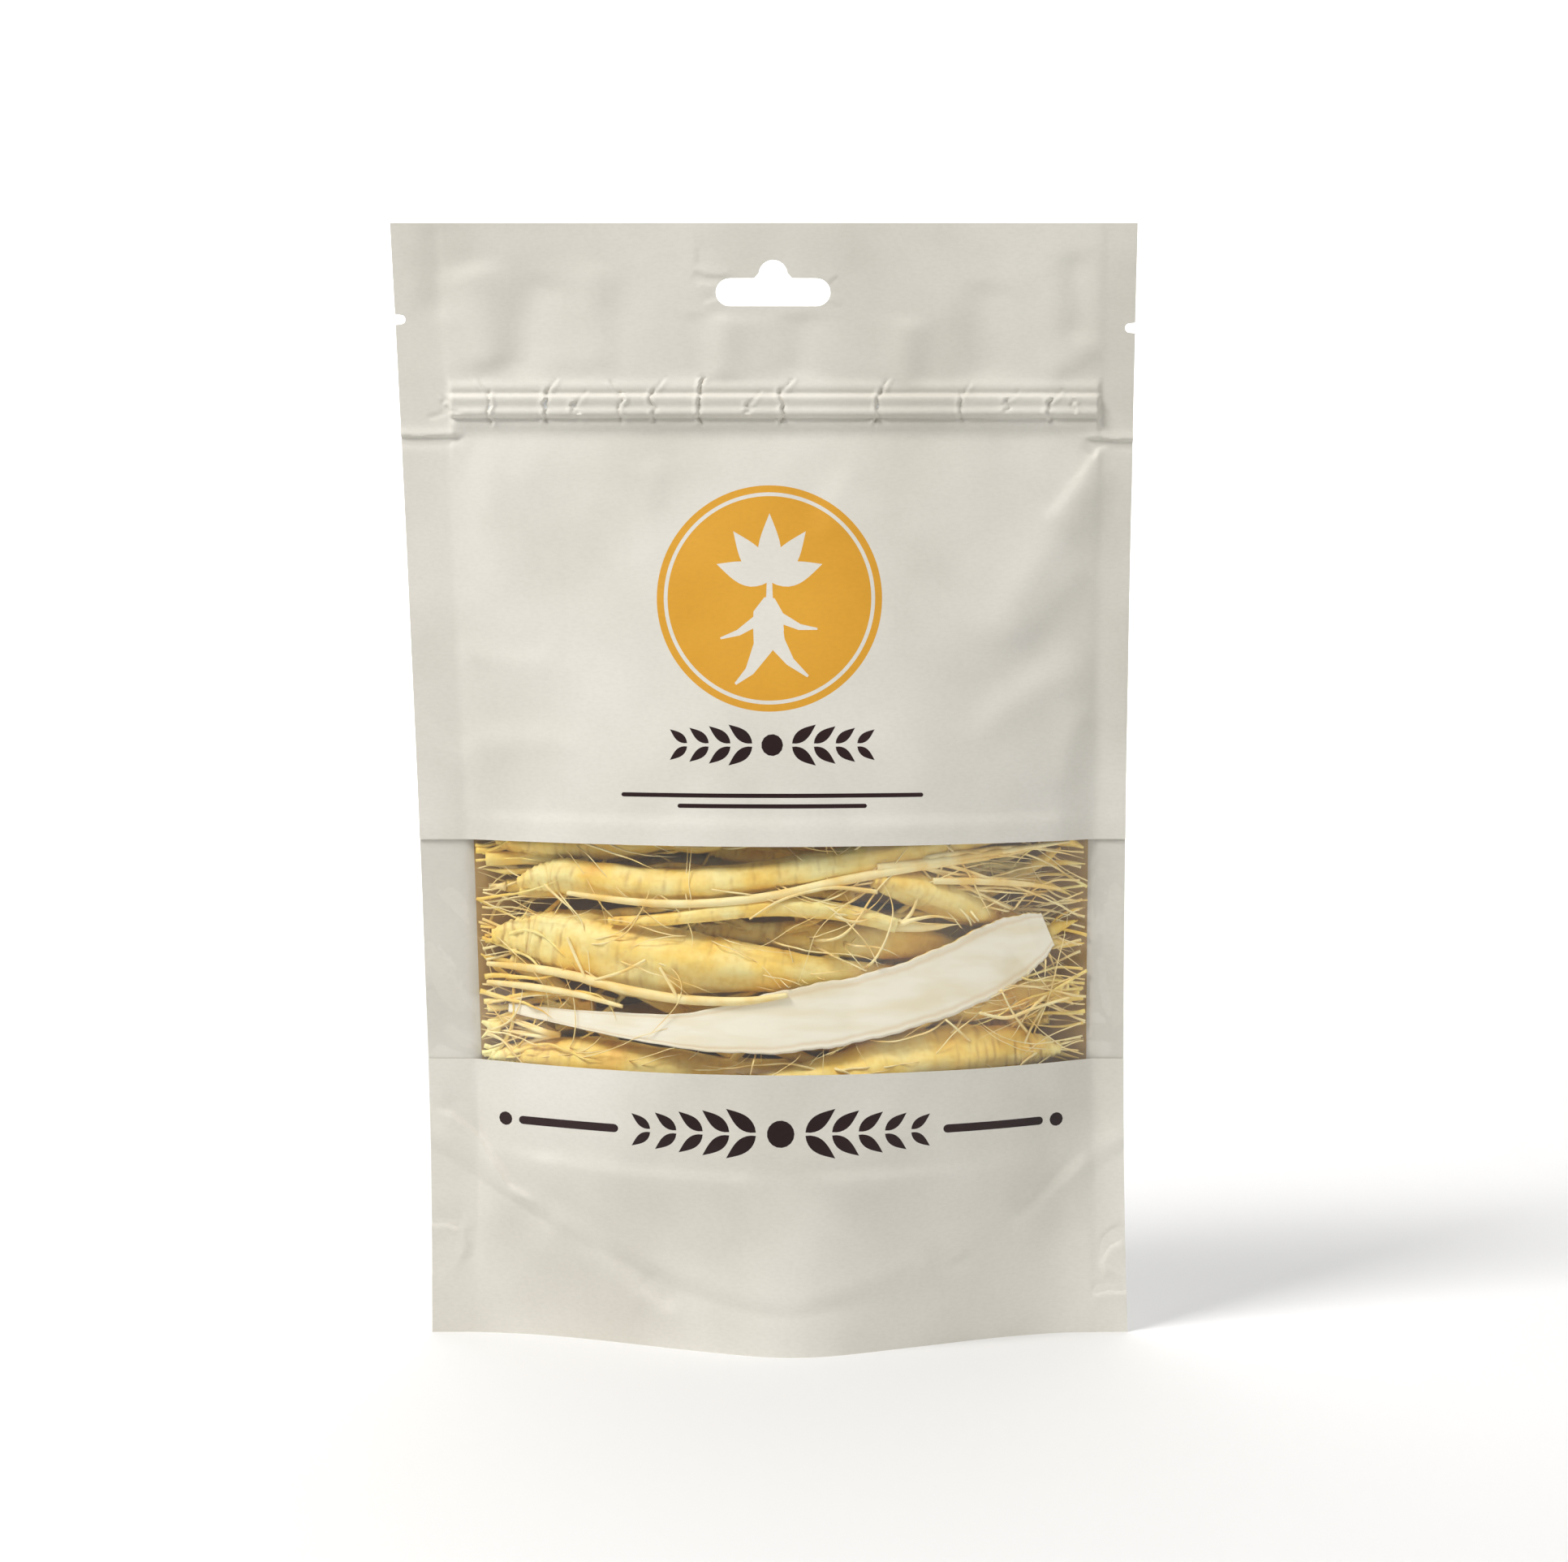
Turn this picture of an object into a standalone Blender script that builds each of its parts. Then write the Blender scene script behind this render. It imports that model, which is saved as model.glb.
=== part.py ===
"""A paper stand-up pouch with a clear window band, holding ginseng roots.

Metres, +Z up. X runs across the pouch, the front faces -Y, and the base edge stands on Z = 0.
"""

import math

import bmesh
import bpy
from mathutils import Vector

MM = 0.001

# Outline of the flat pouch
HEIGHT = 0.240
TOP_HALF_WIDTH = 0.0800
WAIST_HALF_WIDTH = 0.0754
WAIST_HEIGHT = 0.044
FOOT_FLARE = 0.0005
SIDE_CURVE = 1.35
LEAN = 0.0034
SEAL_LEFT = 0.0105
SEAL_RIGHT = 0.0070

# Layers of the wall, counted outwards from the middle plane, with a gap between any two
LAYER_GAP = 0.0003
SHEET = 0.00025
LINER_IN = LAYER_GAP / 2
LINER_OUT = LINER_IN + SHEET
PAPER_IN = LINER_OUT + LAYER_GAP

# Facets across a wall between its seals, and the first row of the flat header
CHAMBER_COLUMNS = 20
HEADER_LOW = 0.212

# How far the filled pouch bows out
BELLY = 0.0240
BELLY_TOP = 0.195
BELLY_POWER = 1.15
LENS_POWER = 1.1
FOOT_BLEND = 0.055
FOOT_NOSE = 0.1

# Base gusset
BASE_SEAL = 0.0096
FOLD_HEIGHT = 0.0420
SEAL_POWER = 1.6
FOLD_LIP = 0.0005
FOLD_RISE = 0.0040
FOLD_SHEET = 0.00035
SKIRT_STEPS = 4
WEB_STEPS = 5
PUNCH_HEIGHT = 0.0185
PUNCH_RADIUS = 0.0055

# Window band
WINDOW_LOW = 0.0600
WINDOW_HIGH = 0.1078
FILM_OVERLAP = 0.0040
LAYER_STEP = 0.0060
BACK_SPLIT = 0.1100

# Press-to-close zip
ZIP_HEIGHT = 0.2010
ZIP_BAND = 0.0018
ZIP_SLOPE = 0.0010
ZIP_BULGE = 0.0015
ZIP_END_SLOPE = 0.012
ZIP_END_GAP = 0.0014
ZIP_FLANGE = 0.0003
ZIP_LIP_REACH = 0.0011
ZIP_LIP_SPREAD = 0.0012
ZIP_LIP_HALF = 0.00025
ZIP_RIB_REACH = 0.0016
ZIP_RIB_HALF = 0.00045

# Hang hole and tear notches
SLOT_HEIGHT = 0.2253
SLOT_HALF_WIDTH = 0.0123
SLOT_HALF_HEIGHT = 0.0030
BUMP_HALF_WIDTH = 0.0041
BUMP_TOP_RADIUS = 0.0031
BUMP_RISE = 0.0039
NOTCH_LEFT_HEIGHT = 0.2195
NOTCH_RIGHT_HEIGHT = 0.2177
NOTCH_DEPTH = 0.0022
NOTCH_HALF_HEIGHT = 0.0010
CUTTER_HALF_DEPTH = 0.006
ARC_STEPS = 8

# Roots: a ring has this many sides, and a limb fewer
RING_SIDES = 8
LIMB_SIDES = 6
RINGS_PER_SPAN = 2
LIMB_RINGS = 6
WALL_CLEARANCE = 0.0009
SLOPE_STEP = 0.0005
SLICE_THICKNESS = 0.85
BURIED_START = 0.75

# Each root: wall it lies against (-1 front, 1 back, 0 middle), then stations along it in
# millimetres as (x, z, radius, depth in from that wall). Limbs leave the main root between two
# shares of its length, at an angle round it in degrees, and spread by so many millimetres.
ROOTS = {
    "root_top_left": {
        "wall": -1,
        "stations": [(-58, 107.5, 1.4, 0.5), (-53, 107.6, 2.8, 1.5), (-46, 108, 4.8, 3.2),
                     (-38, 108.8, 6.0, 3.6), (-28, 109.8, 6.0, 3.2), (-17, 111.8, 4.2, 2.5),
                     (-6, 115.5, 2.6, 3), (4, 119.5, 1.3, 4)],
        "limbs": [(0.50, 0.94, 90, 3.0, 2.2)],
    },
    "root_top_right": {
        "wall": -1,
        "stations": [(-12, 106.5, 1.8, 7.5), (-7, 107.6, 3.8, 7.2), (1, 108.8, 5.8, 7.2),
                     (14, 110.5, 6.2, 7.0), (28, 112.5, 5.2, 4.5), (42, 115, 3.6, 2),
                     (54, 118, 2.0, 1), (60, 120, 1.1, 0)],
        "limbs": [(0.52, 0.95, 95, 3.4, 2.4)],
    },
    "root_upper": {
        "wall": -1,
        "stations": [(-53, 98.6, 1.1, 0), (-48, 99.8, 2.6, 0), (-42, 100.3, 3.8, 0),
                     (-26, 99.0, 3.9, 0), (-12, 99.5, 3.6, 0), (3, 101.6, 3.2, 0), (15, 103.6, 3.2, 0),
                     (27, 105.6, 2.9, 0), (40, 107.8, 2.3, 0), (51, 109.6, 1.6, 0), (60, 111, 0.9, 0)],
        "limbs": [(0.60, 0.97, 70, 2.4, 1.8)],
    },
    "root_thin": {
        "wall": -1,
        "stations": [(-33, 91.3, 0.8, 1.0), (-22, 91.9, 1.3, 0), (-11, 93.5, 1.7, 0), (1, 94.8, 1.9, 0),
                     (12, 94.3, 1.9, 0), (21, 92.6, 1.8, 0), (28, 90.6, 1.5, 0)],
        "limbs": [],
    },
    "root_right": {
        "wall": -1,
        "stations": [(23, 100.2, 1.2, 0), (27, 99.6, 2.7, 0), (33, 98.0, 3.9, 0), (39, 95.8, 4.2, 0.4),
                     (45, 93.2, 3.7, 2.2), (51, 90.8, 2.6, 6.2), (56, 89.5, 1.3, 7.5)],
        "limbs": [(0.40, 0.90, 85, 2.4, 1.8)],
    },
    "root_large": {
        "wall": -1,
        "stations": [(-59, 86.8, 1.5, 0), (-54.5, 87, 3.4, 0), (-49, 86.8, 5.6, 0), (-40, 85.5, 7.4, 0),
                     (-26, 83.2, 7.3, 0), (-14, 82.2, 6.2, 0), (-5, 81.7, 5.2, 0.8), (5, 80.9, 4.1, 2.2),
                     (16, 80.0, 3.0, 5.0), (27, 79.6, 2.0, 8.2), (37, 80.5, 1.1, 9.5)],
        "limbs": [(0.50, 0.92, 200, 3.0, 2.2)],
    },
    "root_inner": {
        "wall": -1,
        "stations": [(-18, 88.5, 1.2, 10.5), (-8, 88.2, 2.4, 10), (4, 87.4, 3.4, 8.8),
                     (16, 86.8, 3.9, 6.6), (27, 86.4, 3.7, 5.2), (36, 85.2, 3.0, 6.8), (44, 83.5, 1.6, 10)],
        "limbs": [],
    },
    "root_slice": {
        "wall": -1,
        "sliced": True,
        "stations": [(-55, 71.5, 0.9, 0.2), (-36, 69.8, 2.2, 0.3), (-16, 68.5, 3.8, 0.4),
                     (-2, 69.6, 6.0, 0.4), (10, 71.4, 6.9, 0.5), (20, 73.2, 6.9, 0.5),
                     (31, 76.2, 7.1, 0.6), (41, 80.0, 7.4, 0.7), (50, 84.4, 7.2, 0.8),
                     (57, 87.6, 5.8, 0.8), (61, 89.3, 4.0, 0.8)],
        "limbs": [],
    },
    "root_side_right": {
        "wall": -1,
        "stations": [(66, 76, 1.2, 0), (62, 75.6, 2.4, 0.5), (56, 74.4, 3.3, 2), (47, 72.5, 3.7, 4.5),
                     (36, 70.6, 3.2, 8), (24, 68.6, 2.5, 9.8), (14, 67.4, 1.4, 10.5)],
        "limbs": [],
    },
    "root_low_right": {
        "wall": -1,
        "stations": [(64, 62.5, 1.4, 0), (59, 62.6, 3.0, 0), (52, 62.4, 5.2, 0), (42, 61.8, 6.4, 0),
                     (30, 60.3, 6.6, 0), (18, 58, 6.0, 0), (6, 56, 5.0, 0), (-6, 54, 3.8, 0),
                     (-20, 52, 2.4, 0), (-32, 50.5, 1.2, 0)],
        "limbs": [(0.50, 0.94, 250, 3.4, 2.2)],
    },
    "root_low_left": {
        "wall": -1,
        "stations": [(-59, 60, 1.2, 0), (-54, 60.6, 2.8, 0), (-47, 60.6, 4.8, 0), (-36, 60.0, 5.6, 0.5),
                     (-22, 59.2, 4.7, 2.5), (-10, 58.8, 3.3, 7), (2, 59.2, 2.1, 9.5), (12, 60, 1.1, 10.5)],
        "limbs": [(0.45, 0.80, 230, 2.8, 2.0)],
    },
    "root_back_top": {
        "wall": 1,
        "stations": [(60, 98, 1.3, 0), (54, 98.5, 2.6, 0), (46, 99.3, 5.0, 0), (34, 100, 7.0, 0),
                     (14, 100.5, 7.3, 0), (-8, 100, 6.4, 0), (-28, 99, 4.8, 0), (-44, 98, 2.8, 0),
                     (-56, 97.5, 1.3, 0)],
        "limbs": [(0.55, 0.96, 90, 3.6, 2.6), (0.62, 0.92, 270, 3.0, 1.8)],
    },
    "root_back_upper": {
        "wall": 1,
        "stations": [(60, 85.5, 1.3, 0), (54, 85, 2.4, 0), (46, 84.5, 4.6, 0), (33, 84.5, 6.9, 0),
                     (12, 84.5, 6.9, 0), (-8, 84.5, 5.4, 0), (-24, 84.5, 3.6, 0), (-36, 84.6, 1.9, 0),
                     (-45, 85, 0.9, 0)],
        "limbs": [(0.55, 0.96, 90, 3.4, 2.6), (0.62, 0.92, 265, 2.8, 1.8)],
    },
    "root_back_middle": {
        "wall": 1,
        "stations": [(62, 68.5, 1.3, 0), (56, 68, 2.6, 0), (48, 67.3, 5.2, 0), (34, 66.8, 8.0, 0),
                     (12, 66.5, 7.7, 0), (-10, 66.5, 6.2, 0), (-28, 66.5, 4.2, 0), (-44, 66, 2.2, 0),
                     (-57, 65, 1.1, 0)],
        "limbs": [(0.56, 0.96, 90, 3.2, 2.6), (0.62, 0.92, 270, 3.0, 1.8)],
    },
    "root_back_low": {
        "wall": 1,
        "stations": [(60, 53.5, 1.3, 0), (54, 52.8, 2.2, 0), (46, 52, 4.2, 0), (32, 51.3, 6.8, 0),
                     (12, 51, 7.0, 0), (-10, 50.5, 6.0, 0), (-28, 51, 4.2, 0), (-44, 52, 2.2, 0),
                     (-57, 53.5, 1.1, 0)],
        "limbs": [(0.56, 0.96, 90, 3.0, 2.4), (0.62, 0.92, 270, 2.6, 1.6)],
    },
    "root_under_front": {
        "wall": -1,
        "stations": [(-54, 42.5, 1.2, 0), (-47, 40.5, 2.2, 0), (-39, 38, 4.6, 0), (-24, 34.5, 6.0, 0),
                     (-4, 33, 6.0, 0), (16, 33.5, 5.2, 0), (34, 36.5, 3.8, 0), (47, 41, 2.2, 0),
                     (57, 45, 1.1, 0)],
        "limbs": [(0.56, 0.94, 90, 2.6, 2.2)],
    },
    "root_under_back": {
        "wall": 1,
        "stations": [(56, 43.5, 1.2, 0), (49, 41, 2.2, 0), (40, 38.5, 4.6, 0), (24, 36, 6.3, 0),
                     (4, 35, 6.3, 0), (-16, 35.5, 5.4, 0), (-32, 37.5, 3.8, 0), (-45, 41, 2.2, 0),
                     (-54, 44.5, 1.1, 0)],
        "limbs": [(0.56, 0.94, 90, 2.6, 2.2)],
    },
    "root_bottom": {
        "wall": 0,
        "stations": [(-36, 31, 1.4, 0), (-30, 29, 2.8, 0), (-20, 26, 4.6, 0), (-4, 23, 5.2, 0),
                     (14, 23.5, 4.6, 0), (28, 27, 3.2, 0), (40, 32, 1.5, 0)],
        "limbs": [(0.55, 0.94, 170, 2.2, 1.8)],
    },
}

# Colour, roughness and metallic value of each material
PAPER_LOOK = ((0.72, 0.69, 0.62), 0.75, 0.0)
FILM_LOOK = ((0.85, 0.86, 0.84), 0.10, 0.0)
ZIP_LOOK = ((0.82, 0.83, 0.82), 0.25, 0.0)
SKIN_LOOK = ((0.80, 0.66, 0.38), 0.65, 0.0)
FLESH_LOOK = ((0.93, 0.90, 0.78), 0.70, 0.0)
FILM_ALPHA = 0.30


def clamp(value, low=0.0, high=1.0):
    return min(max(value, low), high)


def smooth(share):
    """Eases from 0 to 1."""
    share = clamp(share)
    return share * share * (3 - 2 * share)


def half_width(z):
    """Half the pouch's width at height z, over its side seals."""
    if z <= WAIST_HEIGHT:
        return WAIST_HALF_WIDTH + FOOT_FLARE * (1 - z / WAIST_HEIGHT) ** 2
    rise = clamp((z - WAIST_HEIGHT) / (HEIGHT - WAIST_HEIGHT))
    return WAIST_HALF_WIDTH + (TOP_HALF_WIDTH - WAIST_HALF_WIDTH) * rise**SIDE_CURVE


def centre_x(z):
    """The middle between the two side edges: the pouch leans a little, and its top is at x = 0."""
    return LEAN * (1 - z / HEIGHT)


def chamber_centre(z):
    """The middle between the two side seals, which aren't equally wide."""
    return centre_x(z) + (SEAL_LEFT - SEAL_RIGHT) / 2


def chamber_half(z):
    return half_width(z) - (SEAL_LEFT + SEAL_RIGHT) / 2


def belly(z):
    """How far the middle of each wall bows out at height z."""
    rise = clamp((z - WAIST_HEIGHT) / (BELLY_TOP - WAIST_HEIGHT))
    return BELLY * (1 - rise * rise) ** BELLY_POWER


def foot_bow(v):
    """Bow of the base edge across the pouch: flat wings and a rounded nose."""
    reach = (math.hypot(v, FOOT_NOSE) - FOOT_NOSE) / (math.hypot(1, FOOT_NOSE) - FOOT_NOSE)
    return 0.5 * math.cos(math.pi * v / 2) ** 2 + 0.5 * (1 - reach) ** 1.5


def bow(x, z):
    """Distance from the middle plane to the inside of either wall's innermost layer."""
    v = clamp((x - chamber_centre(z)) / chamber_half(z), -1.0, 1.0)
    lens = (1 - v * v) ** LENS_POWER
    share = smooth(z / FOOT_BLEND)
    return belly(z) * (share * lens + (1 - share) * foot_bow(v))


def zip_bulge(x, z):
    """The walls stand off by this much over the closed zip, between the side seals."""
    off = abs(z - ZIP_HEIGHT)
    v = abs(x - chamber_centre(z)) / chamber_half(z)
    return ZIP_BULGE * clamp((ZIP_BAND + ZIP_SLOPE - off) / ZIP_SLOPE) * clamp((1 - v) / ZIP_END_SLOPE)


def base_seal(x):
    """Height at which the gusset leaves the wall."""
    share = clamp(abs(x - centre_x(0.0)) / half_width(0.0))
    return BASE_SEAL + (FOLD_HEIGHT - FOLD_LIP - BASE_SEAL) * share**SEAL_POWER


def base_fold(x):
    """Height of the gusset's middle fold."""
    share = clamp(abs(x - centre_x(0.0)) / half_width(0.0))
    return base_seal(x) + FOLD_LIP + FOLD_RISE * (1 - share * share)


def material(name, look, alpha=1.0):
    colour, roughness, metallic = look
    made = bpy.data.materials.new(name)
    made.use_nodes = True
    shader = made.node_tree.nodes["Principled BSDF"]
    shader.inputs["Base Color"].default_value = (*colour, 1.0)
    shader.inputs["Roughness"].default_value = roughness
    shader.inputs["Metallic"].default_value = metallic
    shader.inputs["Alpha"].default_value = alpha
    return made


def add_object(name, points, faces, look):
    """One closed body from points and faces, with its normals pointing out."""
    mesh = bpy.data.meshes.new(name)
    mesh.from_pydata([tuple(p) for p in points], [], faces)
    shape = bmesh.new()
    shape.from_mesh(mesh)
    bmesh.ops.recalc_face_normals(shape, faces=shape.faces)
    shape.to_mesh(mesh)
    shape.free()
    mesh.materials.append(look)
    made = bpy.data.objects.new(name, mesh)
    bpy.context.scene.collection.objects.link(made)
    return made


def thin_body(name, outer, inner, look):
    """A sheet with thickness: two grids of points alike, joined round their rim."""
    rows, columns = len(outer), len(outer[0])
    points = [p for row in outer for p in row] + [p for row in inner for p in row]
    back = rows * columns
    faces = []
    for r in range(rows - 1):
        for c in range(columns - 1):
            a = r * columns + c
            faces.append((a, a + 1, a + columns + 1, a + columns))
            faces.append((back + a, back + a + columns, back + a + columns + 1, back + a + 1))
    top = (rows - 1) * columns
    for c in range(columns - 1):
        faces.append((c, back + c, back + c + 1, c + 1))
        faces.append((top + c, top + c + 1, back + top + c + 1, back + top + c))
    for r in range(rows - 1):
        a = r * columns
        b = a + columns - 1
        faces.append((a, a + columns, back + a + columns, back + a))
        faces.append((b, back + b, back + b + columns, b + columns))
    return add_object(name, points, faces, look)


def columns_at(z):
    """X stations across the pouch: both edges, both seals' inner edges, and a row between them."""
    middle, half = chamber_centre(z), chamber_half(z)
    turns = [math.pi * (i / CHAMBER_COLUMNS - 0.5) for i in range(CHAMBER_COLUMNS + 1)]
    edge = half_width(z)
    return [centre_x(z) - edge, *(middle + half * math.sin(a) for a in turns), centre_x(z) + edge]


def wall(name, heights, side, look, liner_top=math.inf):
    """A wall panel on one side of the middle plane, outside its liner up to the liner's top."""
    def grid(skin):
        rows = []
        for z in heights:
            layer = skin + (LINER_IN if z >= liner_top + LAYER_STEP else PAPER_IN)
            depths = [bow(x, z) + zip_bulge(x, z) + layer for x in columns_at(z)]
            rows.append([Vector((x, side * y, z)) for x, y in zip(columns_at(z), depths)])
        return rows

    return thin_body(name, grid(SHEET), grid(0.0), look)


def steps(low, high, count):
    return [low + (high - low) * i / count for i in range(count + 1)]


def zip_rows():
    """Heights where the wall steps over the zip."""
    reach = ZIP_BAND + ZIP_SLOPE
    return [ZIP_HEIGHT - reach, ZIP_HEIGHT - ZIP_BAND, ZIP_HEIGHT + ZIP_BAND, ZIP_HEIGHT + reach]


def prism(name, outline, half_depth):
    """A straight prism along Y from an outline in X and Z."""
    count = len(outline)
    points = [(x, y, z) for y in (-half_depth, half_depth) for x, z in outline]
    faces = [tuple(range(count)), tuple(range(2 * count - 1, count - 1, -1))]
    faces += [(i, (i + 1) % count, count + (i + 1) % count, count + i) for i in range(count)]
    return add_object(name, points, faces, None)


def as_cutter(cutter):
    cutter.hide_render = True
    cutter.display_type = "WIRE"
    return cutter


def cut(target, cutter):
    modifier = target.modifiers.new(cutter.name, "BOOLEAN")
    modifier.operation = "DIFFERENCE"
    modifier.object = cutter


def arc(cx, cz, radius, start, end, count=ARC_STEPS):
    """Points on an arc, with its angles in degrees."""
    angles = [math.radians(start + (end - start) * i / count) for i in range(count + 1)]
    return [(cx + radius * math.cos(a), cz + radius * math.sin(a)) for a in angles]


def hang_hole():
    """The hanging slot: a long round-ended slot with a bump in the middle of its upper side."""
    cx = chamber_centre(SLOT_HEIGHT)
    end = SLOT_HALF_WIDTH - SLOT_HALF_HEIGHT
    outline = arc(cx - end, SLOT_HEIGHT, SLOT_HALF_HEIGHT, 270, 90)
    outline += [(cx - BUMP_HALF_WIDTH, SLOT_HEIGHT + SLOT_HALF_HEIGHT)]
    bump = SLOT_HEIGHT + SLOT_HALF_HEIGHT + BUMP_RISE - BUMP_TOP_RADIUS
    outline += arc(cx, bump, BUMP_TOP_RADIUS, 175, 5)
    outline += [(cx + BUMP_HALF_WIDTH, SLOT_HEIGHT + SLOT_HALF_HEIGHT)]
    outline += arc(cx + end, SLOT_HEIGHT, SLOT_HALF_HEIGHT, 90, -90)
    return as_cutter(prism("cut_hang_hole", outline, CUTTER_HALF_DEPTH))


def tear_notch(name, side, z):
    """A short round-ended nick in a side edge."""
    edge = centre_x(z) + side * half_width(z)
    tip = edge - side * (NOTCH_DEPTH - NOTCH_HALF_HEIGHT)
    outside = edge + side * NOTCH_DEPTH
    outline = arc(tip, z, NOTCH_HALF_HEIGHT, 90, 270)
    if side < 0:
        outline = arc(tip, z, NOTCH_HALF_HEIGHT, 90, -90)
    outline += [(outside, z - NOTCH_HALF_HEIGHT), (outside, z + NOTCH_HALF_HEIGHT)]
    return as_cutter(prism(name, outline, CUTTER_HALF_DEPTH))


def gusset_line(column, layer, rise, fold_rise):
    """One cross-section of the gusset, from its front edge over the fold to its back edge."""
    foot = columns_at(0.0)[column]
    leave = base_seal(foot) + rise
    peak = base_fold(foot) + fold_rise
    half = []
    for i in range(SKIRT_STEPS + 1):
        z = leave * i / SKIRT_STEPS
        x = columns_at(z)[column]
        half.append((x, bow(x, z) + layer, z))
    x, out, z = half[-1]
    for i in range(1, WEB_STEPS + 1):
        t = i / WEB_STEPS
        half.append((x, out * (1 - t), z + (peak - z) * math.sin(math.pi / 2 * t)))
    front = [Vector((x, -y, z)) for x, y, z in half]
    back = [Vector((x, y, z)) for x, y, z in half[-2::-1]]
    return front + back


def gusset(look):
    """The folded base panel, sealed to both walls below a curved line."""
    columns = range(len(columns_at(0.0)))
    upper = [gusset_line(c, LINER_OUT, SHEET, FOLD_SHEET) for c in columns]
    lower = [gusset_line(c, LINER_IN, 0.0, 0.0) for c in columns]
    made = thin_body("base_gusset", upper, lower, look)
    for name, side in (("cut_punch_left", -1), ("cut_punch_right", 1)):
        edge = centre_x(PUNCH_HEIGHT) + side * half_width(PUNCH_HEIGHT)
        ring = arc(edge, PUNCH_HEIGHT, PUNCH_RADIUS, 0, 360, 2 * ARC_STEPS)[:-1]
        cut(made, as_cutter(prism(name, ring, CUTTER_HALF_DEPTH)))
    return made


def extruded_section(name, section, z_centre, look):
    """A strip along X from a section in Y and Z."""
    low = chamber_centre(z_centre) - chamber_half(z_centre) + ZIP_END_GAP
    high = chamber_centre(z_centre) + chamber_half(z_centre) - ZIP_END_GAP
    count = len(section)
    points = [(x, y, z_centre + z) for x in (low, high) for y, z in section]
    faces = [tuple(range(count)), tuple(range(2 * count - 1, count - 1, -1))]
    faces += [(i, (i + 1) % count, count + (i + 1) % count, count + i) for i in range(count)]
    return add_object(name, points, faces, look)


def zip_strips(look):
    """The two closed strips: a grooved one on the front wall, and a ribbed one on the back wall."""
    base = LINER_IN + ZIP_BULGE - LAYER_GAP
    face = base - ZIP_FLANGE
    lip_tip = face - ZIP_LIP_REACH
    rib_tip = face - ZIP_RIB_REACH
    lip_out = ZIP_LIP_SPREAD + ZIP_LIP_HALF
    lip_in = ZIP_LIP_SPREAD - ZIP_LIP_HALF
    groove = [
        (-base, -ZIP_BAND), (-base, ZIP_BAND), (-face, ZIP_BAND), (-face, lip_out),
        (-lip_tip, lip_out), (-lip_tip, lip_in), (-face, lip_in), (-face, -lip_in),
        (-lip_tip, -lip_in), (-lip_tip, -lip_out), (-face, -lip_out), (-face, -ZIP_BAND),
    ]
    rib = [
        (base, -ZIP_BAND), (base, ZIP_BAND), (face, ZIP_BAND), (face, ZIP_RIB_HALF),
        (rib_tip, ZIP_RIB_HALF), (rib_tip, -ZIP_RIB_HALF), (face, -ZIP_RIB_HALF), (face, -ZIP_BAND),
    ]
    extruded_section("zip_groove_strip", groove, ZIP_HEIGHT, look)
    extruded_section("zip_rib_strip", rib, ZIP_HEIGHT, look)


def wall_normal(x, z):
    """Direction into the pouch, square to the front wall."""
    across = (bow(x + SLOPE_STEP, z) - bow(x - SLOPE_STEP, z)) / (2 * SLOPE_STEP)
    up = (bow(x, z + SLOPE_STEP) - bow(x, z - SLOPE_STEP)) / (2 * SLOPE_STEP)
    return Vector((across, 1.0, up)).normalized()


def station_point(wall_side, station):
    """Centre of the root at a station, with its radius as a fourth number."""
    x, z, radius, depth = (value * MM for value in station)
    if wall_side == 0:
        return (x, 0.0, z, radius)
    room = bow(x, z) - (radius + WALL_CLEARANCE + depth) / wall_normal(x, z).y
    return (x, wall_side * max(room, 0.0), z, radius)


def spline(knots, share):
    """A smooth curve through the knots, read at a share of its length in knots."""
    spans = len(knots) - 1
    at = clamp(share) * spans
    i = min(int(at), spans - 1)
    t = at - i
    a, b = knots[max(i - 1, 0)], knots[i]
    c, d = knots[i + 1], knots[min(i + 2, spans)]
    return [
        0.5 * (2 * b[k] + (c[k] - a[k]) * t + (2 * a[k] - 5 * b[k] + 4 * c[k] - d[k]) * t**2
               + (3 * b[k] - a[k] - 3 * c[k] + d[k]) * t**3)
        for k in range(len(b))
    ]


def tube(name, line, sides, look, ring_of):
    """A closed tube along a line of (x, y, z, radius), with a point at each end."""
    centres = [Vector(p[:3]) for p in line]
    points, faces = [], []
    for i, centre in enumerate(centres):
        ahead = centres[min(i + 1, len(centres) - 1)] - centres[max(i - 1, 0)]
        points += ring_of(centre, ahead.normalized(), line[i][3])
    rings = len(centres)
    for i in range(rings - 1):
        for k in range(sides):
            a, b = i * sides + k, i * sides + (k + 1) % sides
            faces.append((a, b, b + sides, a + sides))
    for end, inward in ((0, 1), (rings - 1, -1)):
        ring = points[end * sides:(end + 1) * sides]
        outward = (centres[end] - centres[end + inward]).normalized()
        points.append(sum(ring, Vector()) / sides + outward * line[end][3] / 2)
        for k in range(sides):
            faces.append((end * sides + k, end * sides + (k + 1) % sides, len(points) - 1))
    return add_object(name, points, faces, look)


def round_ring(sides):
    def ring(centre, ahead, radius):
        side = ahead.cross(Vector((0, 0, 1))).normalized()
        up = side.cross(ahead)
        angles = [2 * math.pi * k / sides for k in range(sides)]
        return [centre + radius * (math.cos(a) * side + math.sin(a) * up) for a in angles]
    return ring


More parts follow.
